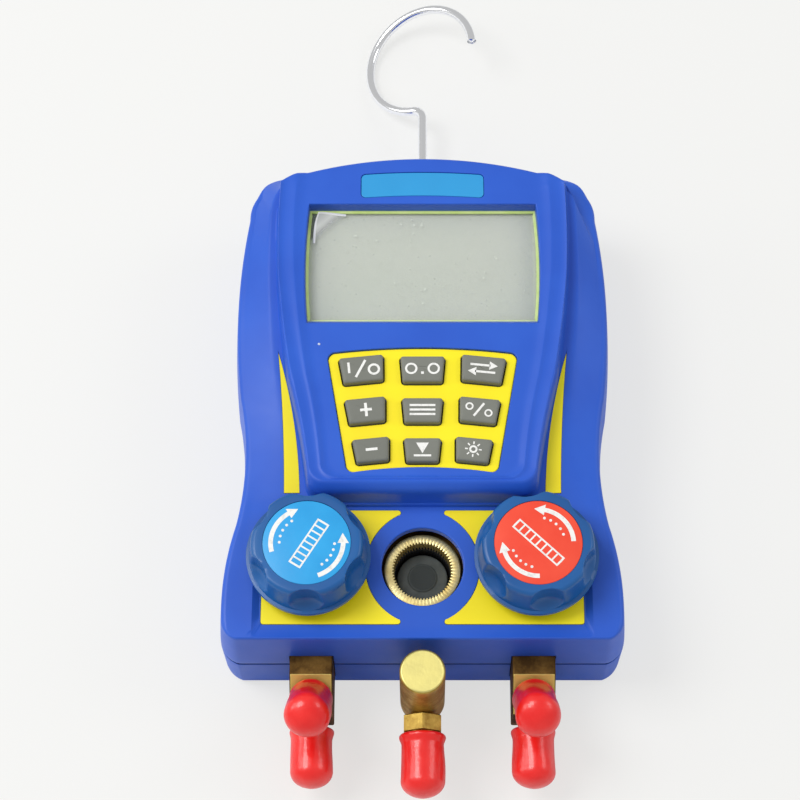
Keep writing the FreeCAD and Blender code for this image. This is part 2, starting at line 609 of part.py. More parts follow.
def keypad_plate():
    body = new_body("keypad_plate")
    pad(body, "plate", outline(body, "plate_edge", keypad("0.15"), "panel - plate_depth"), "plate_thick")
    holes = new_sketch(body, "key_holes", "panel")
    for row, across in KEYS.values():
        draw(holes, key_corners(row, across, "key_gap"))
    cut(body, "keys_cut", holes, "plate_depth + 1")


def keys():
    for name, (row, across) in KEYS.items():
        body = new_body(f"key_{name}")
        pad(body, "cap", outline(body, "cap_edge", key_corners(row, across, "0"), "key_foot"),
            "key_top - key_foot")
        lip_level = "roof - key_lip_gap - key_lip_thick"
        pad(body, "lip", outline(body, "lip_edge", key_corners(row, across, "key_lip"), lip_level),
            "key_lip_thick")


def inlays():
    for word, side in (("left", -1), ("right", 1)):
        body = new_body(f"{word}_deck_inlay")
        sketch = new_sketch(body, "edge", "deck - inlay_depth")
        draw(sketch, inlay("inlay_gap"), side)
        pad(body, "sheet", sketch, "inlay_thick")
        hole = new_sketch(body, "stem_hole", "deck + inlay_thick")
        draw_circle(hole, f"{side} * valve_x", "-valve_y", "inlay_hole")
        cut(body, "stem_opening", hole, "inlay_thick * 3")


def side_stripes():
    made = []
    for word, side in (("left", -1), ("right", 1)):
        body = doc.addObject("PartDesign::Body", f"{word}_stripe")
        sketch = new_sketch(body, "edge", "shoulder_level - stripe_depth", tilt="shoulder_tilt")
        draw(sketch, stripe("inlay_gap"), side)
        pad(body, "sheet", sketch, "stripe_thick")
        made.append(body)
    group = doc.addObject("Part::Compound", "side_stripes")
    group.Links = made
    keep(group, "side_stripes")


def manifold_block():
    body = new_body("manifold_block")
    bar = [("block_half", f"-{BLOCK_FRONT}", None), ("block_half", "block_depth / 2 - valve_y", None),
           ("-block_half", "block_depth / 2 - valve_y", None), ("-block_half", f"-{BLOCK_FRONT}", None)]
    pad(body, "bar", outline(body, "bar_edge", bar, BLOCK_FOOT), "block_height")
    bores = new_sketch(body, "bore_circles", BLOCK_TOP)
    seats = new_sketch(body, "seat_circles", BLOCK_TOP)
    ports = new_sketch(body, "port_circles", BLOCK_FRONT, "XZ_Plane")
    stems = new_sketch(body, "sensor_circles", "valve_y - block_depth / 2", "XZ_Plane")
    for side in (1, -1):
        draw_circle(bores, f"{side} * valve_x", "-valve_y", "bore")
        draw_circle(seats, f"{side} * valve_x", "-valve_y", "seat_hole")
        draw_circle(ports, f"{side} * port_x", "port_z", "passage")
        draw_circle(stems, f"{side} * sensor_x", "port_z", "sensor_stem + stem_gap")
    draw_circle(ports, "0", "port_z", "passage")
    cut(body, "bores", bores, f"{BLOCK_TOP} - seat_z")
    cut(body, "seats", seats, f"{BLOCK_TOP} - gallery_z")
    cut(body, "ports", ports, "block_depth / 2")
    cut(body, "sensor_holes", stems, "sensor_stem_length + 0.2", reverse=True)
    well = new_sketch(body, "well_circle", BLOCK_TOP)
    draw_circle(well, "0", "-glass_y", "well")
    cut(body, "well_bore", well, f"{BLOCK_TOP} - well_floor")
    gallery = new_sketch(body, "gallery_circle", "block_half", "YZ_Plane")
    draw_circle(gallery, "-valve_y", "gallery_z", "passage")
    cut(body, "gallery", gallery, "block_half * 2")
    for word, level, back in (("right", "block_half", False), ("left", "-block_half", True)):
        seat = new_sketch(body, f"{word}_plug_circle", level, "YZ_Plane")
        draw_circle(seat, "-valve_y", "gallery_z", "gallery_plug + stem_gap")
        cut(body, f"{word}_plug_seat", seat, "gallery_plug_length", reverse=back)


def gallery_plugs():
    along = Vector(1, 0, 0)
    made = [cylinder("right_gallery_plug", "gallery_plug", "gallery_plug_length",
                     "block_half - gallery_plug_length",
                     "-valve_y", "gallery_z", along),
            cylinder("left_gallery_plug", "gallery_plug", "gallery_plug_length", "-block_half", "-valve_y",
                     "gallery_z", along)]
    group = doc.addObject("Part::Compound", "gallery_plugs")
    group.Links = made
    keep(group, "gallery_plugs")


def valve(word, side):
    x, y = f"{side} * valve_x", "-valve_y"
    shoulder = "piston_top + run_gap"
    bonnet = new_body(f"{word}_bonnet")
    shank = "bore - stem_gap"
    turn(bonnet, "barrel", [
        ("spindle + run_gap", f"{BLOCK_TOP} - bonnet_shank", None),
        (shank, f"{BLOCK_TOP} - bonnet_shank", None),
        (shank, BLOCK_TOP, None), ("bonnet_flange", BLOCK_TOP, None),
        ("bonnet_flange", f"{BLOCK_TOP} + bonnet_flange_thick", None),
        ("bonnet_neck", f"{BLOCK_TOP} + bonnet_flange_thick", None), ("bonnet_neck", "bonnet_top", None),
        ("spindle + run_gap", "bonnet_top", None)])
    place(bonnet, x, y)
    piston = new_body(f"{word}_piston")
    groove = "bore - ring_thick * 2 - ring_gap * 2"
    turn(piston, "plunger", [
        ("0", "seat_z", None), ("bore - piston_gap", "seat_z", None),
        ("bore - piston_gap", "ring_z - ring_thick - ring_gap", None),
        (groove, "ring_z - ring_thick - ring_gap", None),
        (groove, "ring_z + ring_thick + ring_gap", None),
        ("bore - piston_gap", "ring_z + ring_thick + ring_gap", None),
        ("bore - piston_gap", "piston_top", None), ("pivot + run_gap", "piston_top", None),
        ("pivot + run_gap", "piston_top - pivot_depth", None), ("0", "piston_top - pivot_depth", None)])
    place(piston, x, y)
    ring = bind(doc.addObject("Part::Torus", f"{word}_piston_ring"), Radius1="bore - ring_thick - ring_gap",
                Radius2="ring_thick")
    keep(place(ring, x, y, "ring_z"), f"{word}_piston_ring")
    stem = new_body(f"{word}_spindle")
    turn(stem, "rod", [
        ("0", "piston_top - pivot_depth + run_gap * 2", None),
        ("pivot", "piston_top - pivot_depth + run_gap * 2", None),
        ("pivot", shoulder, None), ("spindle", shoulder, None), ("spindle", "knob_z + knob_hub_depth", None),
        ("0", "knob_z + knob_hub_depth", None)])
    place(stem, x, y)


def knob(word, side, angle):
    body = new_body(f"{word}_knob")
    top = "knob_height"
    turn(body, "dome", [
        ("0", "0", None), ("knob", "0", None), ("knob", "knob_skirt", f"{QUARTER} * knob_edge"),
        ("knob - knob_edge", "knob_skirt + knob_edge", None),
        ("knob_grip", f"{top} - knob_edge", f"{QUARTER} * knob_edge"),
        ("knob_grip - knob_edge", top, None), ("0", top, None)])
    scallop = new_sketch(body, "scallop_circle", top)
    draw_circle(scallop, "scallop_reach * cos(30 deg)", "scallop_reach * sin(30 deg)", "scallop")
    notch = cut(body, "scallop_cut", scallop, f"{top} - knob_skirt - knob_edge * 2")
    doc.recompute()
    ring = body.newObject("PartDesign::PolarPattern", "scallops")
    ring.Originals = [notch]
    ring.Axis = ([axis for axis in body.Origin.OriginFeatures if axis.Role == "Z_Axis"][0], [""])
    ring.Angle = 360
    bind(ring, Occurrences="scallop_count")
    body.Tip = ring
    hollow = new_sketch(body, "hollow_ring", "0")
    draw_circle(hollow, "0", "0", "knob_hollow")
    draw_circle(hollow, "0", "0", "knob_hub")
    cut(body, "hollow", hollow, "knob_roof", reverse=True)
    hub = new_sketch(body, "hub_circle", "0")
    draw_circle(hub, "0", "0", "spindle + stem_gap / 2")
    cut(body, "hub_hole", hub, "knob_hub_depth", reverse=True)
    seat = new_sketch(body, "label_circle", top)
    draw_circle(seat, "0", "0", "label + label_gap")
    cut(body, "label_seat", seat, "label_depth")
    body.Placement = Placement(Vector(), Rotation(Vector(0, 0, 1), 1))
    place(body, f"{side} * valve_x", "-valve_y", "knob_z")
    bind(body, Placement__Rotation__Angle=angle)
    disc = cylinder(f"{word}_knob_label", "label", "label_thick", f"{side} * valve_x", "-valve_y",
                    f"knob_z + {top} - label_depth")
    keep(disc, f"{word}_knob_label")


def sight_glass():
    ring = new_body("sight_glass_ring")
    turn(ring, "band", [
        ("glass_ring_hole", BLOCK_TOP, None), ("glass_ring", BLOCK_TOP, None),
        ("glass_ring", "glass_ring_top - glass_edge", None),
        ("glass_ring - glass_edge", "glass_ring_top", None), ("glass_ring_hole", "glass_ring_top", None)])
    tooth = new_sketch(ring, "tooth_circle", "glass_ring_top")
    draw_circle(tooth, "glass_ring_hole", "0", "glass_tooth")
    notch = cut(ring, "tooth_cut", tooth, "glass_tooth * 3")
    doc.recompute()
    teeth = ring.newObject("PartDesign::PolarPattern", "teeth")
    teeth.Originals = [notch]
    teeth.Axis = ([axis for axis in ring.Origin.OriginFeatures if axis.Role == "Z_Axis"][0], [""])
    teeth.Angle = 360
    bind(teeth, Occurrences="tooth_count")
    ring.Tip = teeth
    place(ring, "0", "-glass_y")
    well = new_body("sight_well")
    outer = "well - stem_gap"
    turn(well, "cup", [
        ("0", "well_floor", None), (outer, "well_floor", None), (outer, "well_top", None),
        (f"{outer} - well_wall", "well_top", None), (f"{outer} - well_wall", "well_floor + well_base", None),
        ("0", "well_floor + well_base", None)])
    place(well, "0", "-glass_y")
    seal = bind(doc.addObject("Part::Torus", "sight_glass_seal"), Radius1="lens - seal_thick",
                Radius2="seal_thick")
    keep(place(seal, "0", "-glass_y", "lens_z - seal_thick - 0.05"), "sight_glass_seal")
    lens = new_body("sight_glass_lens")
    turn(lens, "disc", [("0", "lens_z", None), ("lens", "lens_z", None),
                        ("lens", "lens_z + lens_thick", None),
                        ("0", "lens_z + lens_thick", None)])
    place(lens, "0", "-glass_y")


def sensors():
    for word, side in (("left", -1), ("right", 1)):
        back = Vector(0, 1, 0)
        x = f"{side} * sensor_x"
        face = "block_depth / 2 - valve_y"
        can = cylinder(f"{word}_sensor_can", "sensor", "sensor_length", x, face, "port_z", back)
        stem = cylinder(f"{word}_sensor_stem", "sensor_stem", "sensor_stem_length", x,
                        f"{face} - sensor_stem_length",
                        "port_z", back)
        keep(join(f"{word}_pressure_sensor", [can, stem]), f"{word}_pressure_sensor")


def nipple(label, base, base_length, hexagon, shank_length="shank_length"):
    """A flare connector along +Z with a bore right through: shank below Z 0, base, thread and flared nose."""
    body = new_body(label)
    high = f"({base_length}) + thread_length"
    turn(body, "spigot", [
        ("port_bore", f"-({shank_length})", None), ("shank", f"-({shank_length})", None),
        ("shank", "0", None),
        (base, "0", None), (base, base_length, None), ("thread", base_length, None), ("thread", high, None),
        ("flare", f"{high} + flare_length", None), ("port_bore", f"{high} + flare_length", None)])
    if hexagon:
        across = "hex_flats / 2"
        corner = f"{across} / cos(30 deg)"
        blank = new_sketch(body, "hex_edge", "0")
        draw(blank, [(f"{corner} * cos({60 * step + 30} deg)", f"{corner} * sin({60 * step + 30} deg)",
                      None) for step in range(6)])
        draw_circle(blank, "0", "0", "port_bore")
        pad(body, "hexagon", blank, base_length)
    return body


def cap(label):
    """A vinyl cap along +Z with its mouth at Z 0."""
    body = new_body(label)
    inner = "thread + cap_gap"
    turn(body, "shell", [
        (inner, "0", None), ("cap_mouth", "0", None), ("cap_mouth", "cap_skirt - cap_lip", None),
        ("cap", "cap_skirt", None),
        ("cap", "cap_length - cap_dome", "cap_dome / 3"), ("cap / 3", "cap_length - cap_tip", None),
        ("0", "cap_length", None),
        ("0", "cap_depth", None), (inner, "cap_depth - cap_round", None)])
    return body


def stand(thing, x, y, z, tilt):
    """Turns a piece made along +Z towards -Y by tilt degrees and puts it at a point."""
    thing.Placement = Placement(Vector(), Rotation(Vector(1, 0, 0), value(tilt)))
    place(thing, x, y, z)
    bind(thing, Placement__Rotation__Angle=tilt)


def side_port(word, side):
    """A bar with a slanted face for the service port over an upright one for the hose port."""
    x = f"{side} * port_x"
    body = new_body(f"{word}_port_block")
    lean, rise = "sin(elbow_tilt * 1 deg)", "cos(elbow_tilt * 1 deg)"
    fall = "tan(elbow_tilt * 1 deg)"
    profile = new_sketch(body, "bar_edge", "-stub / 2", "YZ_Plane")
    draw(profile, [(f"-{BLOCK_FRONT}", "bar_foot", None), (f"-{BLOCK_FRONT}", BAR_TOP, None),
                   ("-slant_y", BAR_TOP, None),
                   (f"-{BAR_END}", f"{BAR_TOP} - ({BAR_END} - slant_y) * {fall}", None),
                   (f"-{BAR_END}", "bar_foot", None)])
    pad(body, "bar", profile, "stub")
    elbow_y = f"(elbow_back - {BAR_END})"
    seat = f"(({BAR_TOP} - port_z) * {rise} + ({elbow_y} + slant_y) * {lean})"

    def bore(name, radius, height, reach):
        """A hole along the service port from a point that lies reach along it from the passage."""
        made = body.newObject("PartDesign::SubtractiveCylinder", name)
        made.Refine = False
        made.Placement = Placement(Vector(), Rotation(Vector(1, 0, 0), value("elbow_tilt")))
        bind(made, Radius=radius, Height=height, Placement__Rotation__Angle="elbow_tilt",
             Placement__Base__y=f"{elbow_y} - ({reach}) * {lean}",
             Placement__Base__z=f"port_z + ({reach}) * {rise}")

    drop = f"((port_z - hose_z) / {rise})"
    bore("slanted_passage", "port_bore", f"{drop} + {seat} + 1", f"-{drop}")
    bore("slanted_socket", "shank + shank_gap", "shank_length + 1", f"{seat} - shank_length - lap")
    root = new_sketch(body, "passage_circle", BLOCK_FRONT, "XZ_Plane")
    draw_circle(root, "0", "port_z", "passage")
    cut(body, "passage", root, f"-({elbow_y}) - {BLOCK_FRONT}", reverse=True)
    hose = new_sketch(body, "hose_circle", BAR_END, "XZ_Plane")
    draw_circle(hose, "0", "hose_z", "passage")
    cut(body, "hose_passage", hose, f"{BAR_END} + {elbow_y} + (port_z - hose_z) * {fall} * 0.8")
    socket = new_sketch(body, "socket_circle", BAR_END, "XZ_Plane")
    draw_circle(socket, "0", "hose_z", "shank + shank_gap")
    cut(body, "socket", socket, "shank_length + lap")
    place(body, x)
    elbow = nipple(f"{word}_angled_nipple", "barrel", "elbow_collar_length", hexagon=False)
    stand(elbow, x, f"{elbow_y} - {seat} * {lean}", f"port_z + {seat} * {rise}", "elbow_tilt")
    hose = nipple(f"{word}_hose_nipple", "hose_neck", "hose_neck_length", hexagon=False)
    stand(hose, x, f"-{BAR_END}", "hose_z", "90")
    reach = f"({seat} + elbow_collar_length + cap_stop)"
    stand(cap(f"{word}_angled_cap"), x, f"{elbow_y} - {reach} * {lean}", f"port_z + {reach} * {rise}",
          "elbow_tilt")
    stand(cap(f"{word}_hose_cap"), x, f"-{BAR_END} - hose_neck_length - cap_stop", "hose_z", "90")


def centre_port():
    body = new_body("centre_plug_bar")
    turn(body, "bar", [
        ("0", "plug_low", None), ("plug - plug_chamfer", "plug_low", None),
        ("plug", "plug_low + plug_chamfer", None),
        ("plug", "plug_top - plug_chamfer", None), ("plug - plug_chamfer", "plug_top", None),
        ("0", "plug_top", None)])
    neck = new_sketch(body, "neck_circle", "0", "XZ_Plane")
    draw_circle(neck, "0", "port_z", "neck")
    pad(body, "neck_bar", neck, f"plug_y - {BLOCK_FRONT}", reverse=True)
    socket = new_sketch(body, "socket_circle", "plug", "XZ_Plane")
    draw_circle(socket, "0", "port_z", "shank + shank_gap")
    cut(body, "socket", socket, "plug_socket")
    passage = new_sketch(body, "passage_circle", "0", "XZ_Plane")
    draw_circle(passage, "0", "port_z", "passage")
    cut(body, "passage", passage, f"plug_y - {BLOCK_FRONT}")
    cut(body, "front_passage", passage, "plug", reverse=True)
    place(body, "0", "-plug_y")
    hose = nipple("centre_hose_nipple", "collar", "plug_hex_length", hexagon=True,
                  shank_length="plug_socket - lap")
    stand(hose, "0", "-plug_y - plug", "port_z", "90")
    stand(cap("centre_hose_cap"), "0", "-plug_y - plug - plug_hex_length - cap_stop", "port_z", "90")


def hook():
    bush = new_body("hook_bush")
    high = "bush_low + bush_length"
    pad(bush, "block", outline(bush, "block_edge", box_corners("bush_half", "bush_low", high), "back_wall"),
        "bush_top - back_wall")
    hole = new_sketch(bush, "hole_circle", f"-({high})", "XZ_Plane")
    draw_circle(hole, "0", "hook_z", "hook_wire + run_gap")
    cut(bush, "hole", hole, "bush_length", reverse=True)
    body = new_body("hook")
    head_low = "bush_low - hook_head_gap - hook_head_length"
    end, tip = "(hook_end * 1 deg)", "(hook_tip * 1 deg)"
    centre_x = f"(0 - (hook_radius + hook_bend) * cos({end}) - hook_bend)"
    centre_y = f"(hook_top - (hook_radius + hook_bend) * sin({end}))"
    half_turn = "((hook_end - hook_tip) / 2 * 1 deg)"
    bend_turn = "((hook_end - 180) / 2 * 1 deg)"
    route = [("0", head_low, None), ("0", "hook_top", f"hook_bend * (1 - cos({bend_turn}))"),
             (f"{centre_x} + hook_radius * cos({end})", f"{centre_y} + hook_radius * sin({end})",
              f"-hook_radius * (1 - cos({half_turn}))"),
             (f"{centre_x} + hook_radius * cos({tip})", f"{centre_y} + hook_radius * sin({tip})", None)]
    path = new_sketch(body, "route", "0")
    draw(path, route, closed=False)
    ring = new_sketch(body, "wire_circle", f"-({head_low})", "XZ_Plane")
    draw_circle(ring, "0", "0", "hook_wire")
    wire = feature(body, "AdditivePipe", "wire", ring, Spine=(path, [""]))
    turn(body, "head", [("0", head_low, None), ("hook_head", head_low, None),
                        ("hook_head", f"{head_low} + hook_head_length", None),
                        ("0", f"{head_low} + hook_head_length", None)],
         role="XY_Plane")
    body.Placement = Placement(Vector(), Rotation(Vector(0, 1, 0), 1))
    place(body, "0", "0", "hook_z")
    bind(body, Placement__Rotation__Angle="-hook_turn")
    return wire


front_cover()
back_cover()
battery_door()
battery()
cover_screws()
board_screws()
display()
badge_plate()
keypad_plate()
keys()
inlays()
side_stripes()
manifold_block()
gallery_plugs()
for word, side, angle in (("left", -1, "0"), ("right", 1, "knob_turn")):
    valve(word, side)
    knob(word, side, angle)
    side_port(word, side)
sight_glass()
sensors()
centre_port()
hook()

doc.recompute()
failed = [thing.Name for thing in doc.Objects if "Invalid" in thing.State or "Error" in thing.State]
if failed:
    raise RuntimeError("not built: " + ", ".join(failed))
for piece in pieces:
    if piece.Shape.isNull() or not piece.Shape.isValid() or not piece.Shape.Solids:
        raise RuntimeError("no valid solid: " + piece.Label)

os.makedirs("parts", exist_ok=True)
for piece in pieces:
    piece.Shape.exportStep(f"parts/{piece.Label}.step")
    box = piece.Shape.BoundBox
    print(f"{piece.Label}: {len(piece.Shape.Solids)} solid(s), {piece.Shape.Volume:.0f} mm3, "
          f"X {box.XMin:.1f} {box.XMax:.1f}, Y {box.YMin:.1f} {box.YMax:.1f}, "
          f"Z {box.ZMin:.1f} {box.ZMax:.1f}")
print(len(pieces), "pieces")
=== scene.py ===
# Looks of a digital manifold gauge that lies on its back on a white table.
# Millimetres, but metres inside the materials and for the table and its lights.
# +X right, +Y towards the hook, +Z out of the display.
import math

import bpy
import numpy as np
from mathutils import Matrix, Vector


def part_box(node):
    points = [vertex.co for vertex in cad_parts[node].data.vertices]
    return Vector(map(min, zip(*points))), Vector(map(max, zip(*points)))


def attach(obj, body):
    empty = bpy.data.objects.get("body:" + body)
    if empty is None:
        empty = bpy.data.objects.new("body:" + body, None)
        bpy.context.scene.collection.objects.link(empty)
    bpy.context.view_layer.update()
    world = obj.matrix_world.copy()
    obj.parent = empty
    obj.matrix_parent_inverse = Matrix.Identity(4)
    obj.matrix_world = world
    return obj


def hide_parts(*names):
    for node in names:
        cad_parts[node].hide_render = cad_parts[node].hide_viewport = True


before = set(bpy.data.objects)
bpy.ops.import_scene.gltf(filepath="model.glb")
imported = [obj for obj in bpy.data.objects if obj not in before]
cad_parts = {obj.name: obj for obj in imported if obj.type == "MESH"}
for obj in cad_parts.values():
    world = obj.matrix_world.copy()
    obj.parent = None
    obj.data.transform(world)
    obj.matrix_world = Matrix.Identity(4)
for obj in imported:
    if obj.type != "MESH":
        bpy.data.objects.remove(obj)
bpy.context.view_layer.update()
mm = 0.001
quarter = 1 - math.sqrt(0.5)        # height of a quarter circle's arc over its chord, per radius
sides = (("left", -1), ("right", 1))
towardY = [[1, 0, 0], [0, 0, 1], [0, -1, 0]]        # lays what stands along +Z along +Y
roundRows = np.linspace(0, math.pi / 2, 5)      # angles of the rows of points that draw a small quarter round


def boxOf(node):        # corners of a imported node, in millimetres
    low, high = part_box(node)
    return np.array(low) / mm, np.array(high) / mm


# Outlines: corners are (x, y, bulge), counter-clockwise; the bulge bows the run to the right of its chord

def bow(start, end, bulge, count):
    # Points along a circular arc through start and end whose height over the chord is the bulge
    chord = end - start
    length = math.hypot(*chord)
    share = np.arange(count) / count
    if abs(bulge) < 1e-6:
        return start + share[:, None] * chord
    height = abs(bulge)
    radius = length ** 2 / (8 * height) + height / 2
    half = math.asin(min(1, length / 2 / radius))
    angle = half * (2 * share - 1)
    along = (length / 2 + radius * np.sin(angle)) / length
    out = (radius * np.cos(angle) - (radius - height)) * np.sign(bulge) / length
    right = np.array([chord[1], -chord[0]])
    return start + along[:, None] * chord + out[:, None] * right


def outline(corners, counts):
    places = [np.array(corner[:2], float) for corner in corners]
    if isinstance(counts, int):
        counts = [counts] * len(corners)
    runs = [bow(places[k], places[(k + 1) % len(places)], corners[k][2], counts[k]) for k in range(len(places))]
    return np.concatenate(runs)


def bothSides(right, foot=0.0):     # closes an outline from the corners of its right side, listed upwards
    left = [(-right[k][0], right[k][1], right[k - 1][2] if k else foot) for k in range(len(right) - 1, -1, -1)]
    return list(right) + left


def roundedBox(half, low, high, radius, footHalf=None, arch=0.0):
    # A rectangle or upright trapezoid about X 0 with quarter rounds; arch bows its top and its foot
    footHalf = half if footHalf is None else footHalf
    bend = quarter * radius
    return bothSides([(footHalf - radius, low, bend), (footHalf, low + radius, 0), (half, high - radius, bend),
                      (half - radius, high, arch)], -arch)


def plateOutline(plate, count, inset=0.0):      # the rounded box that a dictionary describes
    foot = plate.get("footHalf", plate["half"])
    return outline(roundedBox(plate["half"] - inset, plate["low"] + inset, plate["high"] - inset, plate["round"],
                              foot - inset, plate.get("arch", 0.0)), count)


def spread(xy, by):     # moves a closed outline outwards along its normals
    ahead = np.roll(xy, -1, axis=0) - np.roll(xy, 1, axis=0)
    normal = np.stack([ahead[:, 1], -ahead[:, 0]], axis=1)
    return xy + by * normal / np.linalg.norm(normal, axis=1, keepdims=True)


def around(count):      # angles of so many points round a circle
    return 2 * math.pi * np.arange(count) / count


def circle(radius, count=96, x=0.0, y=0.0):
    angle = around(count)
    return np.stack([x + radius * np.cos(angle), y + radius * np.sin(angle)], axis=1)


def rectangle(left, right, low, high):
    return np.array([(left, low), (right, low), (right, high), (left, high)])


def spun(xy, turn, at=(0, 0)):      # turns a flat outline by degrees about the origin, then moves it
    angle = math.radians(turn)
    return xy @ np.array([[math.cos(angle), math.sin(angle)], [-math.sin(angle), math.cos(angle)]]) + at


def level(xy, z):       # lays a flat outline at a height
    return np.column_stack([xy, np.broadcast_to(z, len(xy))])


def ring(radius, angle, z):     # a round row of points at a height
    return np.column_stack([radius * np.cos(angle), radius * np.sin(angle), np.broadcast_to(z, len(angle))])


# Meshes: a form is (points, faces); rings of points that run counter-clockwise and rise face outwards

def rings(rows, foot=True, top=True, loop=False):
    # A grid whose first parameter climbs from ring to ring and whose second goes round each ring
    rows = np.asarray(rows, float)
    tall, count = rows.shape[:2]
    index = np.arange(tall * count).reshape(tall, count)
    upper = np.roll(index, -1, axis=0) if loop else index[1:]
    lower = index if loop else index[:-1]
    faces = np.stack([lower, np.roll(lower, -1, 1), np.roll(upper, -1, 1), upper], axis=-1)
    faces = faces.reshape(-1, 4).tolist()
    if not loop:
        faces += [index[0][::-1].tolist()] if foot else []
        faces += [index[-1].tolist()] if top else []
    return rows.reshape(-1, 3), faces


def joined(forms):
    points, faces, first = [], [], 0
    for some, theirs in forms:
        points.append(some)
        faces += [[first + corner for corner in face] for face in theirs]
        first += len(some)
    return np.concatenate(points), faces


def moved(form, matrix=None, by=(0, 0, 0)):
    points = form[0] if matrix is None else form[0] @ np.asarray(matrix).T
    return points + np.array(by, float), form[1]


def leaned(tilt):       # turns +Z towards -Y
    angle = math.radians(tilt)
    return [[1, 0, 0], [0, math.cos(angle), -math.sin(angle)], [0, math.sin(angle), math.cos(angle)]]


def block(xy, low, high, flare=0.0):
    # An upright prism; with a flare its top edge opens in a quarter round, as a cutter that leaves a rounded rim
    rows = [level(xy, low)]
    if flare:
        rows += [level(spread(xy, flare * (1 - math.cos(a))), high - flare + flare * math.sin(a))
                 for a in roundRows]
        rows += [level(spread(xy, flare), high + 6)]
    else:
        rows += [level(xy, high)]
    return rings(rows)


def rimmed(xy, low, high, radius):
    # An upright prism whose top edge is a quarter round
    return rings([level(xy, low)] + [level(spread(xy, -radius * (1 - math.cos(a))),
                                           high - radius + radius * math.sin(a)) for a in roundRows])


def tube(outer, inner, low, high):
    # A closed wall between two outlines with as many points
    return rings([level(outer, low), level(outer, high), level(inner, high), level(inner, low)], loop=True)


def turned(profile, count=96, closed=True):
    # A profile of (radius, height) pairs turned about Z; rising profiles face outwards
    angle = around(count)
    return rings([ring(radius, angle, z) for radius, z in profile], closed, closed)


def softEdges(profile, radius, steps=3):
    # Rounds each inner corner of an open profile with an arc of points between its two runs
    profile = [np.array(point, float) for point in profile]
    made = [profile[0]]
    for before, corner, after in zip(profile, profile[1:], profile[2:]):
        back, ahead = before - corner, after - corner
        reach = min(radius, np.linalg.norm(back) * 0.45, np.linalg.norm(ahead) * 0.45)
        first = corner + back / np.linalg.norm(back) * reach
        last = corner + ahead / np.linalg.norm(ahead) * reach
        for share in np.linspace(0, 1, steps + 1):
            made.append((1 - share) ** 2 * first + 2 * share * (1 - share) * corner + share ** 2 * last)
    return made + [profile[-1]]


def smoothStep(low, high, at):
    share = np.clip((at - low) / (high - low), 0, 1)
    return share * share * (3 - 2 * share)


def softMin(a, b, radius):
    share = np.clip(0.5 + 0.5 * (b - a) / radius, 0, 1)
    return b * (1 - share) + a * share - radius * share * (1 - share)


def makeObject(name, forms, angle=32):
    points, faces = joined(forms)
    mesh = bpy.data.meshes.new(name)
    mesh.from_pydata((points * mm).tolist(), [], faces)
    mesh.polygons.foreach_set("use_smooth", [True] * len(mesh.polygons))
    mesh.set_sharp_from_angle(angle=math.radians(angle))
    piece = bpy.data.objects.new(name, mesh)
    bpy.context.scene.collection.objects.link(piece)
    return piece


def carve(piece, groups, operation="DIFFERENCE", angle=32):
    # Cuts each group of forms out of the piece in turn; the forms of one group don't touch each other
    for forms in groups:
        cutter = makeObject("cutter", forms)
        change = piece.modifiers.new("carve", "BOOLEAN")
        change.operation = operation
        change.solver = "EXACT"
        change.object = cutter
        graph = bpy.context.evaluated_depsgraph_get()
        mesh = bpy.data.meshes.new_from_object(piece.evaluated_get(graph))
        piece.modifiers.clear()
        old = piece.data
        piece.data = mesh
        mesh.name = piece.name
        bpy.data.meshes.remove(old)
        bpy.data.objects.remove(cutter)
    piece.data.set_sharp_from_angle(angle=math.radians(angle))
    return piece


def evenShade(piece):       # large flat faces keep their own normals beside rounded edges
    change = piece.modifiers.new("evenShade", "WEIGHTED_NORMAL")
    change.keep_sharp = True
    return piece


def dress(piece, body, finish, node=None):
    for each in finish if isinstance(finish, list) else [finish]:
        piece.data.materials.append(each.material)
    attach(piece, body)
    if node:
        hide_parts(node)
    return piece


def paintLater(piece, first, count, index):     # gives the faces that were added last another material
    faces = piece.data.polygons
    for k in range(first, first + count):
        faces[k].material_index = index


# Materials

# The clear film over the display, which curls up past a slanted line near its top left corner
film = {"inset": 1.1, "z": 43.6, "thick": 0.05, "toward": (-0.692, 0.723), "reach": 8.6, "curl": 6,
        "corner": (-34.2, 57.2), "edge": 59.2}


class Signal:
    # One output of a node, so that a mask or a colour reads as arithmetic
    def __init__(self, finish, socket):
        self.finish, self.socket = finish, socket

    def math(self, operation, first, second=None, clamp=False):
        sockets = {0: first} if second is None else {0: first, 1: second}
        return self.finish.node("ShaderNodeMath", {"operation": operation, "use_clamp": clamp}, sockets)

    def __add__(self, other):
        return self.math("ADD", self, other)

    def __sub__(self, other):
        return self.math("SUBTRACT", self, other)

    def __mul__(self, other):
        return self.math("MULTIPLY", self, other)

    def __radd__(self, other):
        return self.math("ADD", other, self)

    def __rsub__(self, other):
        return self.math("SUBTRACT", other, self)

    def __rmul__(self, other):
        return self.math("MULTIPLY", other, self)

    def between(self, low, high):       # 0 at low and under, 1 at high and over
        return self.math("MULTIPLY", self.math("SUBTRACT", self, low), 1 / (high - low), clamp=True)


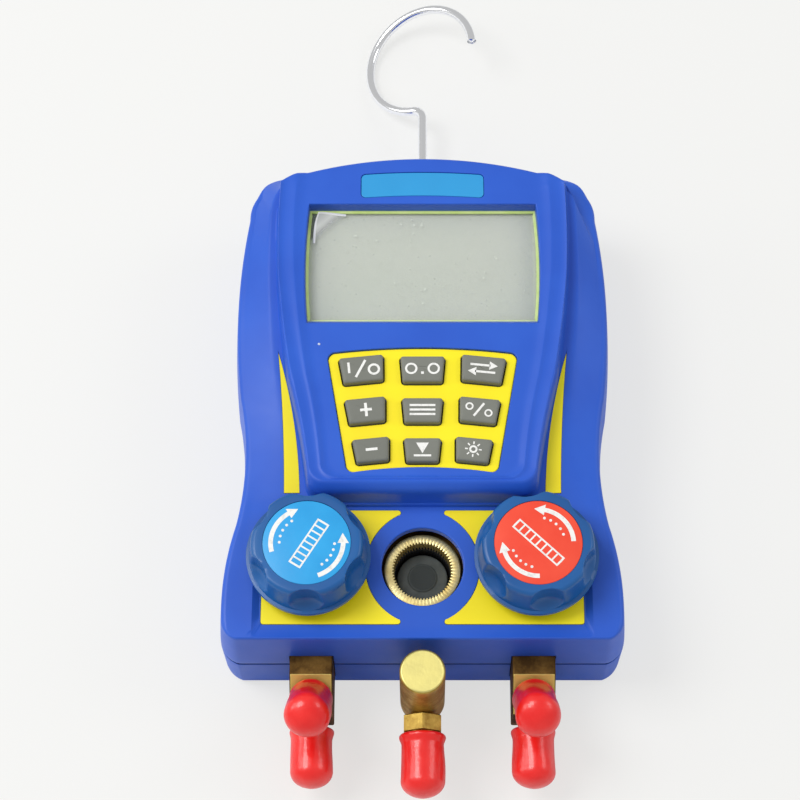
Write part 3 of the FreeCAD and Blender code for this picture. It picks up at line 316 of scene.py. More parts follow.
class Finish:
    # A material: node() adds any node, with its settings first and then the values or links of its sockets
    def __init__(self, name, colour, roughness=0.4, metallic=0.0):
        self.material = bpy.data.materials.new(name)
        self.material.use_nodes = True
        self.tree = self.material.node_tree
        self.shader = self.tree.nodes["Principled BSDF"]
        self.set("Base Color", colour)
        self.set("Roughness", roughness)
        self.set("Metallic", metallic)

    def fill(self, socket, value):
        if isinstance(value, Signal):
            self.tree.links.new(value.socket, socket)
        elif isinstance(value, (tuple, list)) and len(value) == 3 and socket.type == "RGBA":
            socket.default_value = (*value, 1)
        else:
            socket.default_value = value

    def set(self, name, value):
        self.fill(self.shader.inputs[name], value)
        return self

    def node(self, kind, settings=None, sockets=None, output=0):
        made = self.tree.nodes.new(kind)
        for key, value in (settings or {}).items():
            setattr(made, key, value)
        for key, value in (sockets or {}).items():
            self.fill(made.inputs[key], value)
        return Signal(self, made.outputs[output])

    def place(self):        # where a point is on the object, in metres
        return self.node("ShaderNodeTexCoord", output="Object")

    def noise(self, scale, detail=2.0, roughness=0.5, stretch=None):
        at = self.place()
        if stretch:
            at = self.node("ShaderNodeMapping", None, {"Vector": at, "Scale": stretch})
        return self.node("ShaderNodeTexNoise", None,
                         {"Vector": at, "Scale": scale, "Detail": detail, "Roughness": roughness})

    def mix(self, share, first, second):
        return self.node("ShaderNodeMix", {"data_type": "RGBA"}, {0: share, 6: first, 7: second}, output=2)

    def bump(self, height, distance):
        return self.set("Normal", self.node("ShaderNodeBump", None, {"Distance": distance, "Height": height}))

    def axis(self, index):      # X, Y or Z of that point
        return self.node("ShaderNodeSeparateXYZ", None, {0: self.place()}, output=index)

    def paint(self, share, colour):     # lays another colour over the base colour where the share is 1
        base = Signal(self, self.shader.inputs["Base Color"].links[0].from_socket)
        return self.set("Base Color", self.mix(share, base, colour))


def linear(red, green, blue):       # a screen colour of 0 to 255 as light
    return tuple((c / 255 / 12.92) if c <= 10 else ((c / 255 + 0.055) / 1.055) ** 2.4 for c in (red, green, blue))


def mouldedPlastic(name, colour, shade, roughness=0.42, grain=0.00003):
    # Pigment drifts slowly, fine eroded grain, and shallow flow waves that bend the highlights a little
    made = Finish(name, colour)
    drift = made.noise(38, 3).between(0.35, 0.65)
    made.set("Base Color", made.mix(drift, colour, shade))
    fine = made.noise(5200, 2)
    waves = made.noise(55, 1)
    made.set("Roughness", roughness + 0.1 * made.noise(160, 3) - 0.05)
    made.bump(fine * 0.35 + waves * 6, grain)
    return made


plasticBlue = mouldedPlastic("bodyBlue", linear(38, 88, 198), linear(42, 95, 206), 0.42)
plasticBlue.set("Specular IOR Level", 0.36)
plasticBlack = mouldedPlastic("blackPlastic", linear(20, 20, 22), linear(26, 26, 28), 0.5)
yellow = mouldedPlastic("yellowPlastic", linear(255, 240, 10), linear(253, 230, 8), 0.45)
knobBlue = mouldedPlastic("knobBlue", linear(16, 92, 160), linear(14, 82, 148), 0.36)
keyGrey = mouldedPlastic("keyRubber", linear(124, 126, 118), linear(116, 118, 110), 0.62, 0.00004)
badgeBlue = mouldedPlastic("badgeBlue", linear(40, 150, 212), linear(44, 156, 218), 0.34)
pipPale = mouldedPlastic("pipPale", linear(196, 206, 226), linear(206, 214, 232), 0.4)
rubberBlack = mouldedPlastic("blackRubber", linear(16, 16, 17), linear(22, 22, 22), 0.7)

# Painted shade in the groove between the two shells
height = plasticBlue.axis(2)
plasticBlue.paint(height.between(0.01848, 0.01856) * (1 - height.between(0.01948, 0.01956)), linear(6, 12, 60))


def printInk(name, colour):
    made = Finish(name, colour, 0.45)
    worn = made.noise(900, 4).between(0.32, 0.5)
    made.set("Base Color", made.mix(worn, tuple(0.82 * c for c in colour), colour))
    return made


whiteInk = printInk("whiteInk", linear(240, 240, 236))


def labelFilm(name, colour, faded):
    # A printed disc that faded in patches, with a faint orange-peel gloss
    made = Finish(name, colour, 0.32)
    made.set("Base Color", made.mix(made.noise(95, 4).between(0.3, 0.7), colour, faded))
    made.bump(made.noise(900, 2), 0.00002)
    return made


labelBlue = labelFilm("labelBlue", linear(34, 156, 222), linear(44, 168, 232))
labelRed = labelFilm("labelRed", linear(238, 68, 44), linear(246, 84, 58))


def metal(name, colour, dark, roughness, patina, scratch=0.0):
    # Tarnish in patches, and scratches that lie across the piece
    made = Finish(name, colour, roughness, 1.0)
    stain = made.noise(120, 5, 0.65).between(0.62 - patina, 0.78 - patina / 2)
    made.set("Base Color", made.mix(stain, colour, dark))
    made.set("Roughness", roughness + 0.18 * stain + 0.08 * made.noise(700, 3))
    height = made.noise(1500, 3)
    if scratch:
        height = height + scratch * made.noise(260, 2, stretch=(1, 1, 24))
    made.bump(height, 0.00003)
    return made


brassBright = metal("brass", linear(206, 178, 92), linear(146, 112, 50), 0.35, 0.26, scratch=1.5)
ringBrass = metal("ringBrass", linear(250, 232, 168), linear(222, 194, 118), 0.36, 0.16)
brassAged = metal("brassAged", linear(138, 104, 52), linear(78, 56, 30), 0.42, 0.34, scratch=1.5)
steel = metal("spindleSteel", linear(190, 190, 194), linear(140, 140, 146), 0.3, 0.05)
zinc = metal("screwSteel", linear(182, 184, 190), linear(130, 132, 140), 0.32, 0.1)
stainless = metal("sensorSteel", linear(196, 196, 200), linear(150, 150, 156), 0.28, 0.05)
chrome = metal("hookChrome", linear(244, 245, 247), linear(222, 224, 228), 0.12, 0.02)

# Painted highlight: the plug's upright, turned end is painted a lighter brass
brassBright.paint(brassBright.axis(2).between(0.0447, 0.0448), linear(236, 224, 142))


def dippedVinyl():
    # Thick glossy vinyl whose red drifts a little paler in patches
    made = Finish("capVinyl", linear(236, 20, 16), 0.34)
    made.set("Base Color", made.mix(made.noise(210, 3).between(0.35, 0.7), linear(236, 18, 14),
                                    linear(244, 38, 32)))
    made.shader.inputs["Coat Weight"].default_value = 0.35
    made.shader.inputs["Coat Roughness"].default_value = 0.08
    made.shader.inputs["Subsurface Weight"].default_value = 0.12
    made.shader.inputs["Subsurface Radius"].default_value = (0.002, 0.0004, 0.0003)
    made.bump(made.noise(330, 3), 0.00025)
    return made


vinyl = dippedVinyl()


def screenGlass():
    # Clear film over the pane: a little haze, pin-point bubbles and dust
    made = Finish("displayClear", linear(214, 220, 208), 0.3)
    cells = made.node("ShaderNodeTexVoronoi", {"feature": "F1"}, {"Vector": made.place(), "Scale": 520})
    sparse = made.noise(420, 1).between(0.56, 0.62)
    specks = (1 - cells.between(0.1, 0.22)) * sparse
    made.set("Alpha", 0.1 + 0.75 * specks + 0.05 * made.noise(60, 3))
    made.shader.inputs["Specular IOR Level"].default_value = 0.6
    made.material.surface_render_method = "BLENDED"
    return made


def displayGrey():
    made = Finish("displayGrey", linear(208, 214, 204), 0.3)
    drift = made.noise(26, 2).between(0.3, 0.7)
    grain = made.noise(2600, 2).between(0.35, 0.65)
    base = made.mix(drift, linear(206, 213, 202), linear(214, 218, 208))
    # Painted shadow: past the film's fold line the display is painted dark, where the lifted corner shades it
    past = made.axis(1) * film["toward"][1] + made.axis(0) * film["toward"][0]
    corner = past.between(film["edge"] * mm - 0.0002, film["edge"] * mm + 0.0006)
    base = made.mix(corner, base, linear(96, 102, 98))
    made.set("Base Color", made.mix(grain * 0.3, base, linear(188, 196, 182)))
    return made


def lightGuide():
    made = Finish("lightGuide", linear(208, 228, 142), 0.3)
    made.set("Base Color", made.mix(made.noise(300, 2).between(0.3, 0.7), linear(204, 226, 134),
                                    linear(220, 236, 160)))
    # Painted glow: a weak emission makes the light guide look lit
    made.set("Emission Color", linear(190, 220, 90))
    made.shader.inputs["Emission Strength"].default_value = 0.12
    return made


def greyLens():
    # A smoked lens: the middle is darker where it looks into the block
    made = Finish("sightGlass", linear(84, 90, 90), 0.55)
    low, high = boxOf("sight_glass_lens")
    middle = tuple((low + high) / 2 * mm)
    away = made.node("ShaderNodeVectorMath", {"operation": "DISTANCE"}, {0: made.place(), 1: middle},
                     output="Value")
    edge = away.between(0.0040, 0.0047)
    cloud = made.noise(380, 3).between(0.3, 0.7)
    made.set("Base Color", made.mix(edge, linear(54, 60, 60),
                                    made.mix(cloud, linear(78, 84, 84), linear(92, 98, 98))))
    made.shader.inputs["Specular IOR Level"].default_value = 0.3
    return made


paneFinish, lcdFinish, guideFinish, lensFinish = screenGlass(), displayGrey(), lightGuide(), greyLens()
boardGreen = mouldedPlastic("boardGreen", linear(22, 96, 52), linear(30, 108, 60), 0.35)
cellCase = mouldedPlastic("batteryCase", linear(58, 58, 62), linear(70, 70, 76), 0.35)

nodeFinish = {"battery": cellCase, "battery_clip": plasticBlack, "board_screws": zinc,
              "circuit_board": boardGreen,
              "manifold_block": brassAged, "gallery_plugs": brassBright, "sight_glass_seal": rubberBlack,
              "hook_bush": plasticBlack}
for word, _ in sides:
    for part, finish in (("bonnet", brassBright), ("piston", brassBright), ("piston_ring", rubberBlack),
                         ("spindle", steel), ("pressure_sensor", stainless)):
        nodeFinish[f"{word}_{part}"] = finish
for node, finish in nodeFinish.items():
    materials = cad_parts[node].data.materials
    if not materials:
        materials.append(None)
    for k in range(len(materials)):
        materials[k] = finish.material
print("materials")


# Housing

housing = {"end": 82, "endCorner": 5.5, "footRise": 7, "foot": 60.5, "hip": 57.1, "hipY": 44.6, "chest": 57,
           "chestY": 4, "shoulder": 56, "shoulderY": 58, "crown": 45, "crownY": 72.5, "parting": 19, "rimZ": 39.5,
           "rimInset": 1.5, "rimRound": 1.7, "shoulderZ": 41.9, "tilt": 3, "crest": 0.72}
panel = {"low": 37.5, "corner": 5, "foot": 34.5, "mid": 40.7, "high": 44.6, "highY": 35, "earY": 66.5,
         "earWidth": 8.5, "earRise": 3.4, "crownBulge": 5, "bevelZ": 46.5, "flatZ": 48.5, "crownRound": 1.3}
# How the panel's edge rises: inset from the side, from the foot and from the crown, and height
rail = [(0, 0, 0, 46.5), (0.22, 0.9, 0.1, 47.9), (0.42, 1.9, 0.3, 48.85), (0.6, 2.35, 0.5, 49.16),
        (0.85, 2.7, 0.8, 49.3), (1.15, 2.9, 1.0, 49.24), (2.1, 3.05, 1.3, 48.96), (3.2, 3.3, 1.5, 48.86),
        (3.75, 3.55, 1.7, 49.02), (4.05, 3.75, 1.9, 49.12), (4.3, 3.9, 2.1, 49.1), (4.7, 4.1, 2.4, 48.92),
        (5.4, 4.45, 2.9, 48.66), (6.1, 4.8, 3.4, 48.53), (6.9, 5.3, 4.0, 48.5)]
railCounts = [10, 50, 44, 44, 16, 70, 16, 44, 44, 50, 10, 70]


def housingCorners(inset=0.0):
    h = housing
    return bothSides([(h["foot"] - h["endCorner"] - inset, inset - h["end"], 1.35),
                      (h["foot"] - inset, h["footRise"] - h["end"], 1.3), (h["hip"] - inset, -h["hipY"], -2.15),
                      (h["chest"] - inset, -h["chestY"], 2.2), (h["shoulder"] - inset, h["shoulderY"], 3.4),
                      (h["crown"] - inset / 2, h["crownY"] - inset, 3)])


def railInset(side):        # above the waist the rail's crest stands further out and its inner flank is wider
    return np.interp(side, [0, 0.85, 2.85, 4.05, 6.9], [0, 0.3, 1.4, 4.8, 9.2])


def panelOutline(side, foot, crown):
    p, wide = panel, railInset(side)
    corners = [(p["foot"] - p["corner"] - side, foot - p["low"], quarter * p["corner"]),
               (p["foot"] - side, foot - p["low"] + p["corner"], -0.5), (p["mid"] - 1.35 * side, 0, 0.4),
               (p["high"] - wide, p["highY"], 0.4), (p["high"] - wide, p["earY"] - crown, quarter * p["earRise"]),
               (p["high"] - p["earWidth"] - wide / 2, p["earY"] + p["earRise"] - crown, p["crownBulge"])]
    return outline(bothSides(corners), railCounts)


def matched(dense, anchors, counts):
    # Points along a dense closed outline: so many from each anchor to the next, evenly spaced
    starts = [int(np.argmin(np.linalg.norm(dense - np.array(anchor), axis=1))) for anchor in anchors]
    made = []
    for k, start in enumerate(starts):
        end = starts[(k + 1) % len(starts)]
        stretch = dense[np.arange(start, end + (len(dense) if end < start else 0) + 1) % len(dense)]
        step = np.concatenate([[0], np.cumsum(np.linalg.norm(np.diff(stretch, axis=0), axis=1))])
        at = step[-1] * np.arange(counts[k]) / counts[k]
        made.append(np.stack([np.interp(at, step, stretch[:, 0]), np.interp(at, step, stretch[:, 1])], axis=1))
    return np.concatenate(made)


def housingOutline():       # as many points as the panel's outline, each beside its partner there
    h = housing
    right = [(h["foot"] - h["endCorner"] - 9, -h["end"]), (h["hip"], -h["hipY"]), (h["chest"], -h["chestY"]),
             (57.6, 36), (h["shoulder"], h["shoulderY"]), (h["crown"], h["crownY"])]
    anchors = right + [(-x, y) for x, y in right[::-1]]
    moreHere = [30, -10, 0, 0, 0, 0, 0, 0, 0, -10, 30, -40]
    return matched(outline(housingCorners(), 300), anchors, [a + b for a, b in zip(railCounts, moreHere)])


def shoulderPlane(y):       # the plane of the shoulders, which falls to the rim beside the deck
    plane = housing["shoulderZ"] + math.tan(math.radians(housing["tilt"])) * y
    return housing["rimZ"] + (plane - housing["rimZ"]) * smoothStep(-39, -34.5, y)


def frontRings():
    h, base = housing, housingOutline()
    seam = h["parting"]
    inner = np.stack([panelOutline(*row[:3]) for row in rail])
    crownShare = smoothStep(66, 71, base[:, 1])
    rimInset = h["rimInset"] * (1 - 0.75 * crownShare)
    rows = [level(spread(base, -inset), seam + rise)
            for rise, inset in ((0, 0.9), (0.48, 0.9), (0.52, 0.15), (0.95, 0.0))]
    wallTop = h["rimZ"] - h["rimRound"] * 0.9
    for share in np.linspace(0.12, 1, 7):
        z = seam + 0.95 + share * (wallTop - seam - 0.95)
        rows.append(level(spread(base, -(rimInset * share ** 1.25)[:, None]), z))
    # The rim: a quarter round from the wall into the top, whose height is that of the top's edge
    edge = h["rimZ"] - 0.1 * smoothStep(-39, -34, base[:, 1])
    roundR = h["rimRound"] * (1 - 0.8 * crownShare) * (1 - 0.6 * smoothStep(-76, -81, base[:, 1]))
    for turn in np.radians([18, 36, 54, 72, 90]):
        inset = rimInset + roundR * (1 - math.cos(turn))
        rows.append(level(spread(base, -inset[:, None]), edge - h["rimRound"] * 0.9 * (1 - math.sin(turn))))
    start = rows[-1][:, :2]
    side = np.clip(1 - crownShare, 0, 1)
    foot = spread(inner[0], (0.75 * side)[:, None])
    plane = shoulderPlane(foot[:, 1])
    for share in (0.05, 0.12, 0.2, 0.3, 0.4, 0.5, 0.58, 0.65, 0.69, 0.72, 0.75, 0.8, 0.87, 0.94, 1):
        xy = start + share * (foot - start)
        flat = shoulderPlane(xy[:, 1])
        band = edge + (flat - edge) * share / h["crest"]
        rows.append(level(xy, softMin(flat, band, 0.35)))
    # The panel's wall, with a small fillet at its foot
    for share, out in ((0.06, 0.55), (0.2, 0.42), (0.45, 0.28), (0.75, 0.12)):
        rows.append(level(spread(inner[0], (out * side)[:, None]), plane + share * (panel["bevelZ"] - plane)))
    for k, (sideIn, _, crownIn, z) in enumerate(rail):
        xy = inner[k]
        # Near the crown the trough between the rails stays open, and its edge rolls over
        across = np.maximum(railInset(sideIn), panel["high"] - np.abs(xy[:, 0]))
        height = np.interp(across, [railInset(row[0]) for row in rail], [row[3] for row in rail])
        bend = panel["crownRound"]
        drop = bend - math.sqrt(max(0, bend ** 2 - (bend - min(crownIn, bend)) ** 2))
        share = smoothStep(panel["earY"] - 0.5, panel["earY"] + 1.6, xy[:, 1] + crownIn)
        rows.append(level(xy, z + share * (height - drop - z)))
    return rows


# The pane's underside is shaved, so that it doesn't lie in the display's own face
window = {"half": 35.3, "bulge": 1, "low": 19.2, "high": 58.3, "floor": 43.5, "rim": 1.8, "round": 0.45,
          "lowTop": 17.3, "shave": 0.12}
badge = {"half": 19.3, "low": 60.5, "high": 69, "arch": 0.7, "round": 1.5, "depth": 0.8}
plate = {"half": 28.7, "footHalf": 22.9, "low": -31.7, "high": 7.3, "arch": 1.6, "round": 2.4, "depth": 1.6}
deck = {"half": 47.9, "low": -76, "high": -38.9, "cut": 12, "z": 38, "wall": 2.5, "slope": 2.1, "slopeLow": 3.8,
        "corner": 1.6}
inlay = {"tip": 6.4, "half": 47.5, "low": -75.6, "high": -39.9, "bulge": 9.65, "depth": 0.7, "hole": 9,
         "corner": 0.8, "cut": 12}
stripe = {"tip": (44.3, 10.9), "low": -35.3, "inner": 36.7, "outer": 41.5, "innerBulge": 1.5, "outerBulge": -0.5,
          "depth": 0.5}
sightGlass = {"y": -57.6, "recess": 12.1, "bore": 8.75, "teeth": 60, "tooth": 0.3, "rib": 0.1, "around": 480}
valve = {"x": 33.5, "y": -56.2, "hole": 5.75}
ports = {"x": 33, "z": 19.75, "half": 6.65, "low": 6.4, "high": 26.4, "neck": 5.75}
keypad = {"rows": {"high": 1.3, "mid": -12.2, "low": -25}, "lip": 0.9, "gap": 0.4, "taper": 0.6, "turn": 6,
          "corner": 0.8, "print": 1.17}
fitGap = 0.15       # how far a plate stays inside its pocket
shell = {"wall": 2.6, "roof": 45.2, "floor": 3, "backEdge": 0.5}


def windowOutline(inset=0.0, low=None):
    w = window
    low = (w["low"] if low is None else low) + inset
    return outline(bothSides([(w["half"] - inset, low, w["bulge"]), (w["half"] - inset, w["high"] - inset, 0)]),
                   [24, 30, 24, 30])


def windowCut():        # the opening's lower edge slopes down to the display
    w, flat = window, panel["flatZ"]
    wide = windowOutline(low=w["lowTop"])
    rows = [level(windowOutline(), w["floor"] - 2), level(windowOutline(), shell["roof"] + 0.05)]
    rows += [level(spread(wide, w["round"] * (1 - math.cos(a))), flat - w["round"] * (1 - math.sin(a)))
             for a in roundRows]
    return rings(rows + [level(spread(wide, w["round"]), flat + 6)])


def mirrored(side, points, counts):
    if side < 0:
        order = range(len(points) - 1, -1, -1)
        counts = [counts[k - 1] for k in order]
        points = [(-points[k][0], points[k][1], points[k - 1][2]) for k in order]
    return outline(points, counts)


def inlayOutline(side, inset=0.0):
    i, corner = inlay, inlay["corner"]
    tip, half, low, high = i["tip"] + inset, i["half"] - inset, i["low"] + inset, i["high"] - inset
    bend = quarter * corner
    points = [(tip + 0.8, low, 0), (half - corner, low, bend), (half, low + corner, 0),
              (half, high - i["cut"], 0), (half - i["cut"], high, 0), (tip + 0.8, high, 0.79),
              (tip + 0.75, high - 1.6, -(i["bulge"] + inset)), (tip + 0.75, low + 1.6, 0.79)]
    return mirrored(side, points, [18, 5, 16, 5, 18, 8, 48, 8])


def stripeOutline(side, inset=0.0):
    s = stripe
    points = [(s["inner"] + inset, s["low"] + inset, 0), (s["outer"] - inset, s["low"] + inset, s["outerBulge"]),
              (s["tip"][0] - 2.4 * inset, s["tip"][1] - 12 * inset, s["innerBulge"])]
    return mirrored(side, points, [8, 40, 40])


def tiltedBlock(xy, low, high):     # a prism that stands on the shoulders' plane
    return moved(rings([level(xy, low), level(xy, high)]), leaned(housing["tilt"]), (0, 0, housing["shoulderZ"]))


def keySpots():
    # Where each key stands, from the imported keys: name, centre, half length, half width, turn, foot and top
    for row, y in keypad["rows"].items():
        low, high = boxOf(f"key_middle_{row}")
        halfLength, halfWidth = (high - low)[:2] / 2 - keypad["lip"]
        for word, across in (("left", -1), ("middle", 0), ("right", 1)):
            low, high = boxOf(f"key_{word}_{row}")
            middle = (low + high) / 2
            turn = -across * keypad["turn"]
            yield f"key_{word}_{row}", (middle[0], y), halfLength, halfWidth, turn, low[2], high[2]


def keyOutline(spot, grow=0.0):
    _, (x, y), halfLength, halfWidth, turn, _, _ = spot
    corner = keypad["corner"] + max(0, grow)
    xy = outline(roundedBox(halfLength + grow, -halfWidth - grow, halfWidth + grow, corner,
                            halfLength - keypad["taper"] + grow), [6, 5, 6, 12, 6, 5, 6, 12])
    return spun(xy, turn, (x, y))


def endSlots(low, high):        # where the port bars and the middle neck come out of the end face
    end, half = -housing["end"], ports["half"]
    bars = [block(rectangle(x - half, x + half, end - 3, end + 5.2), low, high)
            for x in (-ports["x"], ports["x"])]
    return bars + [moved(block(circle(ports["neck"], 64), 0, 9), towardY, (0, end - 2, ports["z"]))]


def deckCut():
    # The recess round the valves: its walls slope, and its far corners are cut off behind the knobs
    d, rim, rows = deck, housing["rimZ"], []
    slopes = ((d["slope"], d["slopeLow"]), (d["slope"] + 0.7, d["slopeLow"] + 0.8),
              (d["slope"] + 0.9, d["slopeLow"] + 1))
    for (grow, low), z in zip(((0, 0), *slopes), (d["z"], rim - 0.06, rim + 0.05, rim + 6)):
        half, foot, cut, corner = d["half"] + grow, d["low"] - low, d["cut"], d["corner"]
        edge = bothSides([(half - corner, foot, quarter * corner), (half, foot + corner, 0),
                          (half, d["high"] - cut, 0.8), (half - cut, d["high"] + 0.3 * (grow > 0), 0)])
        rows.append(level(outline(edge, [6, 12, 14, 20, 14, 12, 6, 30]), z))
    return rings(rows)


def frontShell():
    piece = makeObject("frontShell", [rings(frontRings())])
    h = housing
    hollow = block(outline(housingCorners(shell["wall"] + h["rimInset"]), 24), h["parting"] - 1,
                   deck["z"] - deck["wall"])
    upper = block(panelOutline(shell["wall"], shell["wall"], shell["wall"] + 1), deck["z"] - deck["wall"] - 0.5,
                  shell["roof"])
    carve(piece, [[hollow], [upper]])
    flat, plateTop = panel["flatZ"], panel["flatZ"] - plate["depth"]
    sunk = [deckCut(),
            windowCut(),
            block(plateOutline(badge, 16), flat - badge["depth"], flat, 0.2),
            block(plateOutline(plate, 20), plateTop, flat, 0.3)]
    through = [block(keyOutline(spot, keypad["gap"]), shell["roof"] - 2, plateTop + 1) for spot in keySpots()]
    through += [block(circle(sightGlass["recess"], 128, 0, sightGlass["y"]), 30, deck["z"], 0.5)]
    through += [block(circle(valve["hole"], 64, side * valve["x"], valve["y"]), 30, deck["z"] + 2)
                for side in (-1, 1)]
    through += [tiltedBlock(stripeOutline(side), -stripe["depth"], 3) for side in (-1, 1)]
    shallow = [block(inlayOutline(side), deck["z"] - inlay["depth"], deck["z"], 0.12) for side in (-1, 1)]
    carve(piece, [sunk, shallow, through, endSlots(5, ports["high"])])
    collar = tube(windowOutline(-window["rim"]), windowOutline(-0.001), window["floor"], shell["roof"] + 0.02)
    pip = moved(turned([(0.01, -0.1), (0.42, -0.1), (0.38, 0.12), (0.22, 0.24), (0.01, 0.26)], 24),
                by=(-31.4, 10, flat))
    joinInto(piece, makeObject("extra", [collar, pip]))
    dress(piece, "root", [plasticBlue, pipPale], "front_cover")
    paintLater(piece, len(piece.data.polygons) - len(pip[1]), len(pip[1]), 1)
    return evenShade(piece)


def formOf(piece):
    points = np.zeros(len(piece.data.vertices) * 3)
    piece.data.vertices.foreach_get("co", points)
    return points.reshape(-1, 3) / mm, [list(face.vertices) for face in piece.data.polygons]


def joinInto(piece, other):     # adds the other object's mesh to the piece as separate islands
    merged = makeObject(piece.name + "Merged", [formOf(piece), formOf(other)])
    old = piece.data
    piece.data = merged.data
    piece.data.name = piece.name
    bpy.data.objects.remove(merged)
    bpy.data.objects.remove(other)
    bpy.data.meshes.remove(old)
    return piece


# Back: shell, battery door and screws

door = {"half": 16.05, "low": 1.4, "high": 59.3, "round": 1.5, "rebate": 1.8, "recess": 0.2, "thick": 1.5,
        "gap": 0.25, "grooves": 5, "grooveY": 50, "grooveStep": 1.7, "grooveWidth": 0.8, "grooveDepth": 0.45}
grip = {"half": 6, "low": 60.1, "high": 62.3, "round": 1.0, "depth": 0.9}       # the nail's notch above the door
cell = {"half": 13.65, "low": 3.8, "high": 56.7, "wall": 1.6, "top": 15}
screws = {"spots": [(50.5, -71.5), (47.5, -20), (44, 61)], "boss": 3.4, "hole": 1.5, "sink": 2.85, "depth": 5.8,
          "head": 2.6, "headZ": 4, "headThick": 1.8, "shank": 1.25, "length": 22, "cross": (1.5, 0.36, 0.9)}


def screwSpots():
    return [(side * x, y) for side in (1, -1) for x, y in screws["spots"]]


def backShell():
    h = housing
    base = outline(housingCorners(), [24, 30, 40, 60, 24, 90, 24, 60, 40, 30, 24, 110])
    foot = [(0, 1.9), (0.04, 1.5), (0.2, 1.05), (0.5, 0.66), (0.9, 0.4), (1.5, 0.24), (3, 0.14), (8, 0.08),
            (14, 0.04)]
    seam = [(h["parting"] - fall, inset) for fall, inset in ((0.8, 0), (0.47, 0.15), (0.43, 0.9), (0, 0.9))]
    piece = makeObject("backShell", [rings([level(spread(base, -inset), z) for z, inset in foot + seam])])
    hollow = block(outline(housingCorners(shell["wall"] + shell["backEdge"]), 24), shell["floor"],
                   h["parting"] + 1)
    carve(piece, [[hollow]])
    doorBlock = block(plateOutline(door, 10), -1, door["rebate"])
    bay = block(rectangle(-cell["half"], cell["half"], cell["low"], cell["high"]), -2, 6)
    s, spots = screws, screwSpots()
    sinks = [block(circle(s["sink"], 32, x, y), -1, s["depth"]) for x, y in spots]
    holes = [block(circle(s["hole"], 24, x, y), -2, 12) for x, y in spots]
    hookHole = moved(block(circle(hook["hole"], 32), 0, 12), towardY, (0, h["crownY"] - 4, hook["z"]))
    notch = block(plateOutline(grip, 6), -1, grip["depth"])
    carve(piece, [[doorBlock], [bay] + sinks + [notch], holes + endSlots(ports["low"], 30) + [hookHole]])
    walls = [rectangle(-cell["half"] - grow, cell["half"] + grow, cell["low"] - grow, cell["high"] + grow)
             for grow in (cell["wall"], 0)]
    walls = [tube(*(outline([(x, y, 0) for x, y in wall], 2) for wall in walls), 2.9, cell["top"])]
    for inner, low, high in ((s["hole"], s["depth"], h["parting"]), (s["sink"], 2.9, s["depth"])):
        walls += [tube(circle(s["boss"], 32, x, y), circle(inner, 32, x, y), low, high) for x, y in spots]
    joinInto(piece, makeObject("walls", walls))
    evenShade(piece)
    return dress(piece, "root", plasticBlue, "back_cover")


def batteryDoor():
    d = door
    edge = plateOutline(d, 10, d["gap"])
    low = d["recess"]
    rows = [level(spread(edge, -inset), low + rise)
            for inset, rise in ((0.3, 0), (0.08, 0.1), (0, 0.35), (0, d["thick"]))]
    piece = makeObject("batteryDoor", [rings(rows)])
    grooves = []
    for k in range(d["grooves"]):
        y = d["grooveY"] + d["grooveStep"] * k
        groove = outline(roundedBox(7 - 0.8 * abs(k - 2), y, y + d["grooveWidth"], 0.35), 4)
        grooves.append(block(groove, -1, low + d["grooveDepth"]))
    carve(piece, [grooves])
    evenShade(piece)
    return dress(piece, "battery_door", plasticBlue, "battery_door")


def coverScrews():
    s = screws
    reach, half, depth = s["cross"]
    head = [(0.01, 0), (s["head"] - 0.5, 0), (s["head"] - 0.12, 0.25), (s["head"], 0.7),
            (s["head"], s["headThick"]), (s["shank"], s["headThick"] + 0.01),
            (s["shank"], s["length"] - 1.2), (0.01, s["length"])]
    forms = [moved(turned(softEdges(head, 0.15, 2), 40), by=(x, y, s["headZ"])) for x, y in screwSpots()]
    piece = makeObject("coverScrews", forms)
    for long, wide in ((reach, half), (half, reach)):
        bars = [block(rectangle(x - long, x + long, y - wide, y + wide), s["headZ"] - 1, s["headZ"] + depth)
                for x, y in screwSpots()]
        carve(piece, [bars])
    return dress(piece, "root", zinc, "cover_screws")


# Front trim: badge, keypad plate, keys, inlays and stripes

def badgePlate():
    top = panel["flatZ"] - fitGap
    piece = makeObject("badgePlate", [rimmed(plateOutline(badge, 16, fitGap), panel["flatZ"] - badge["depth"],
                                             top, 0.18)])
    evenShade(piece)
    return dress(piece, "root", badgeBlue, "badge_plate")


def keypadPlate():
    low, high = boxOf("keypad_plate")
    piece = makeObject("keypadPlate", [rimmed(plateOutline(plate, 20, fitGap), low[2], high[2], 0.2)])
    carve(piece, [[block(keyOutline(spot, keypad["gap"]), low[2] - 1, high[2], 0.15) for spot in keySpots()]])
    evenShade(piece)
    return dress(piece, "root", yellow, "keypad_plate")


def bar(x, y, length, width, turn=0.0):     # marks printed on keys and labels are flat outlines
    return spun(rectangle(-length / 2, length / 2, -width / 2, width / 2), turn, (x, y))


def sector(x, y, inner, outer, start, end, count=28):
    # The strip between two arcs, from one angle to a larger one
    angle = np.radians(np.linspace(start, end, count))
    ray = np.stack([np.cos(angle), np.sin(angle)], axis=1)
    return np.concatenate([outer * ray, (inner * ray)[::-1]]) + (x, y)


def hoop(x, y, radius, width):      # a ring in two halves, so that each half is one closed outline
    return [sector(x, y, radius - width, radius, 0, 180.01, 20),
            sector(x, y, radius - width, radius, 180, 360.01, 20)]


def wedge(x, y, size, turn):        # a triangle that points along the turn
    corners = np.array([(-size * 0.5, -size * 0.62), (size * 0.62, 0), (-size * 0.5, size * 0.62)])
    return spun(corners, turn, (x, y))


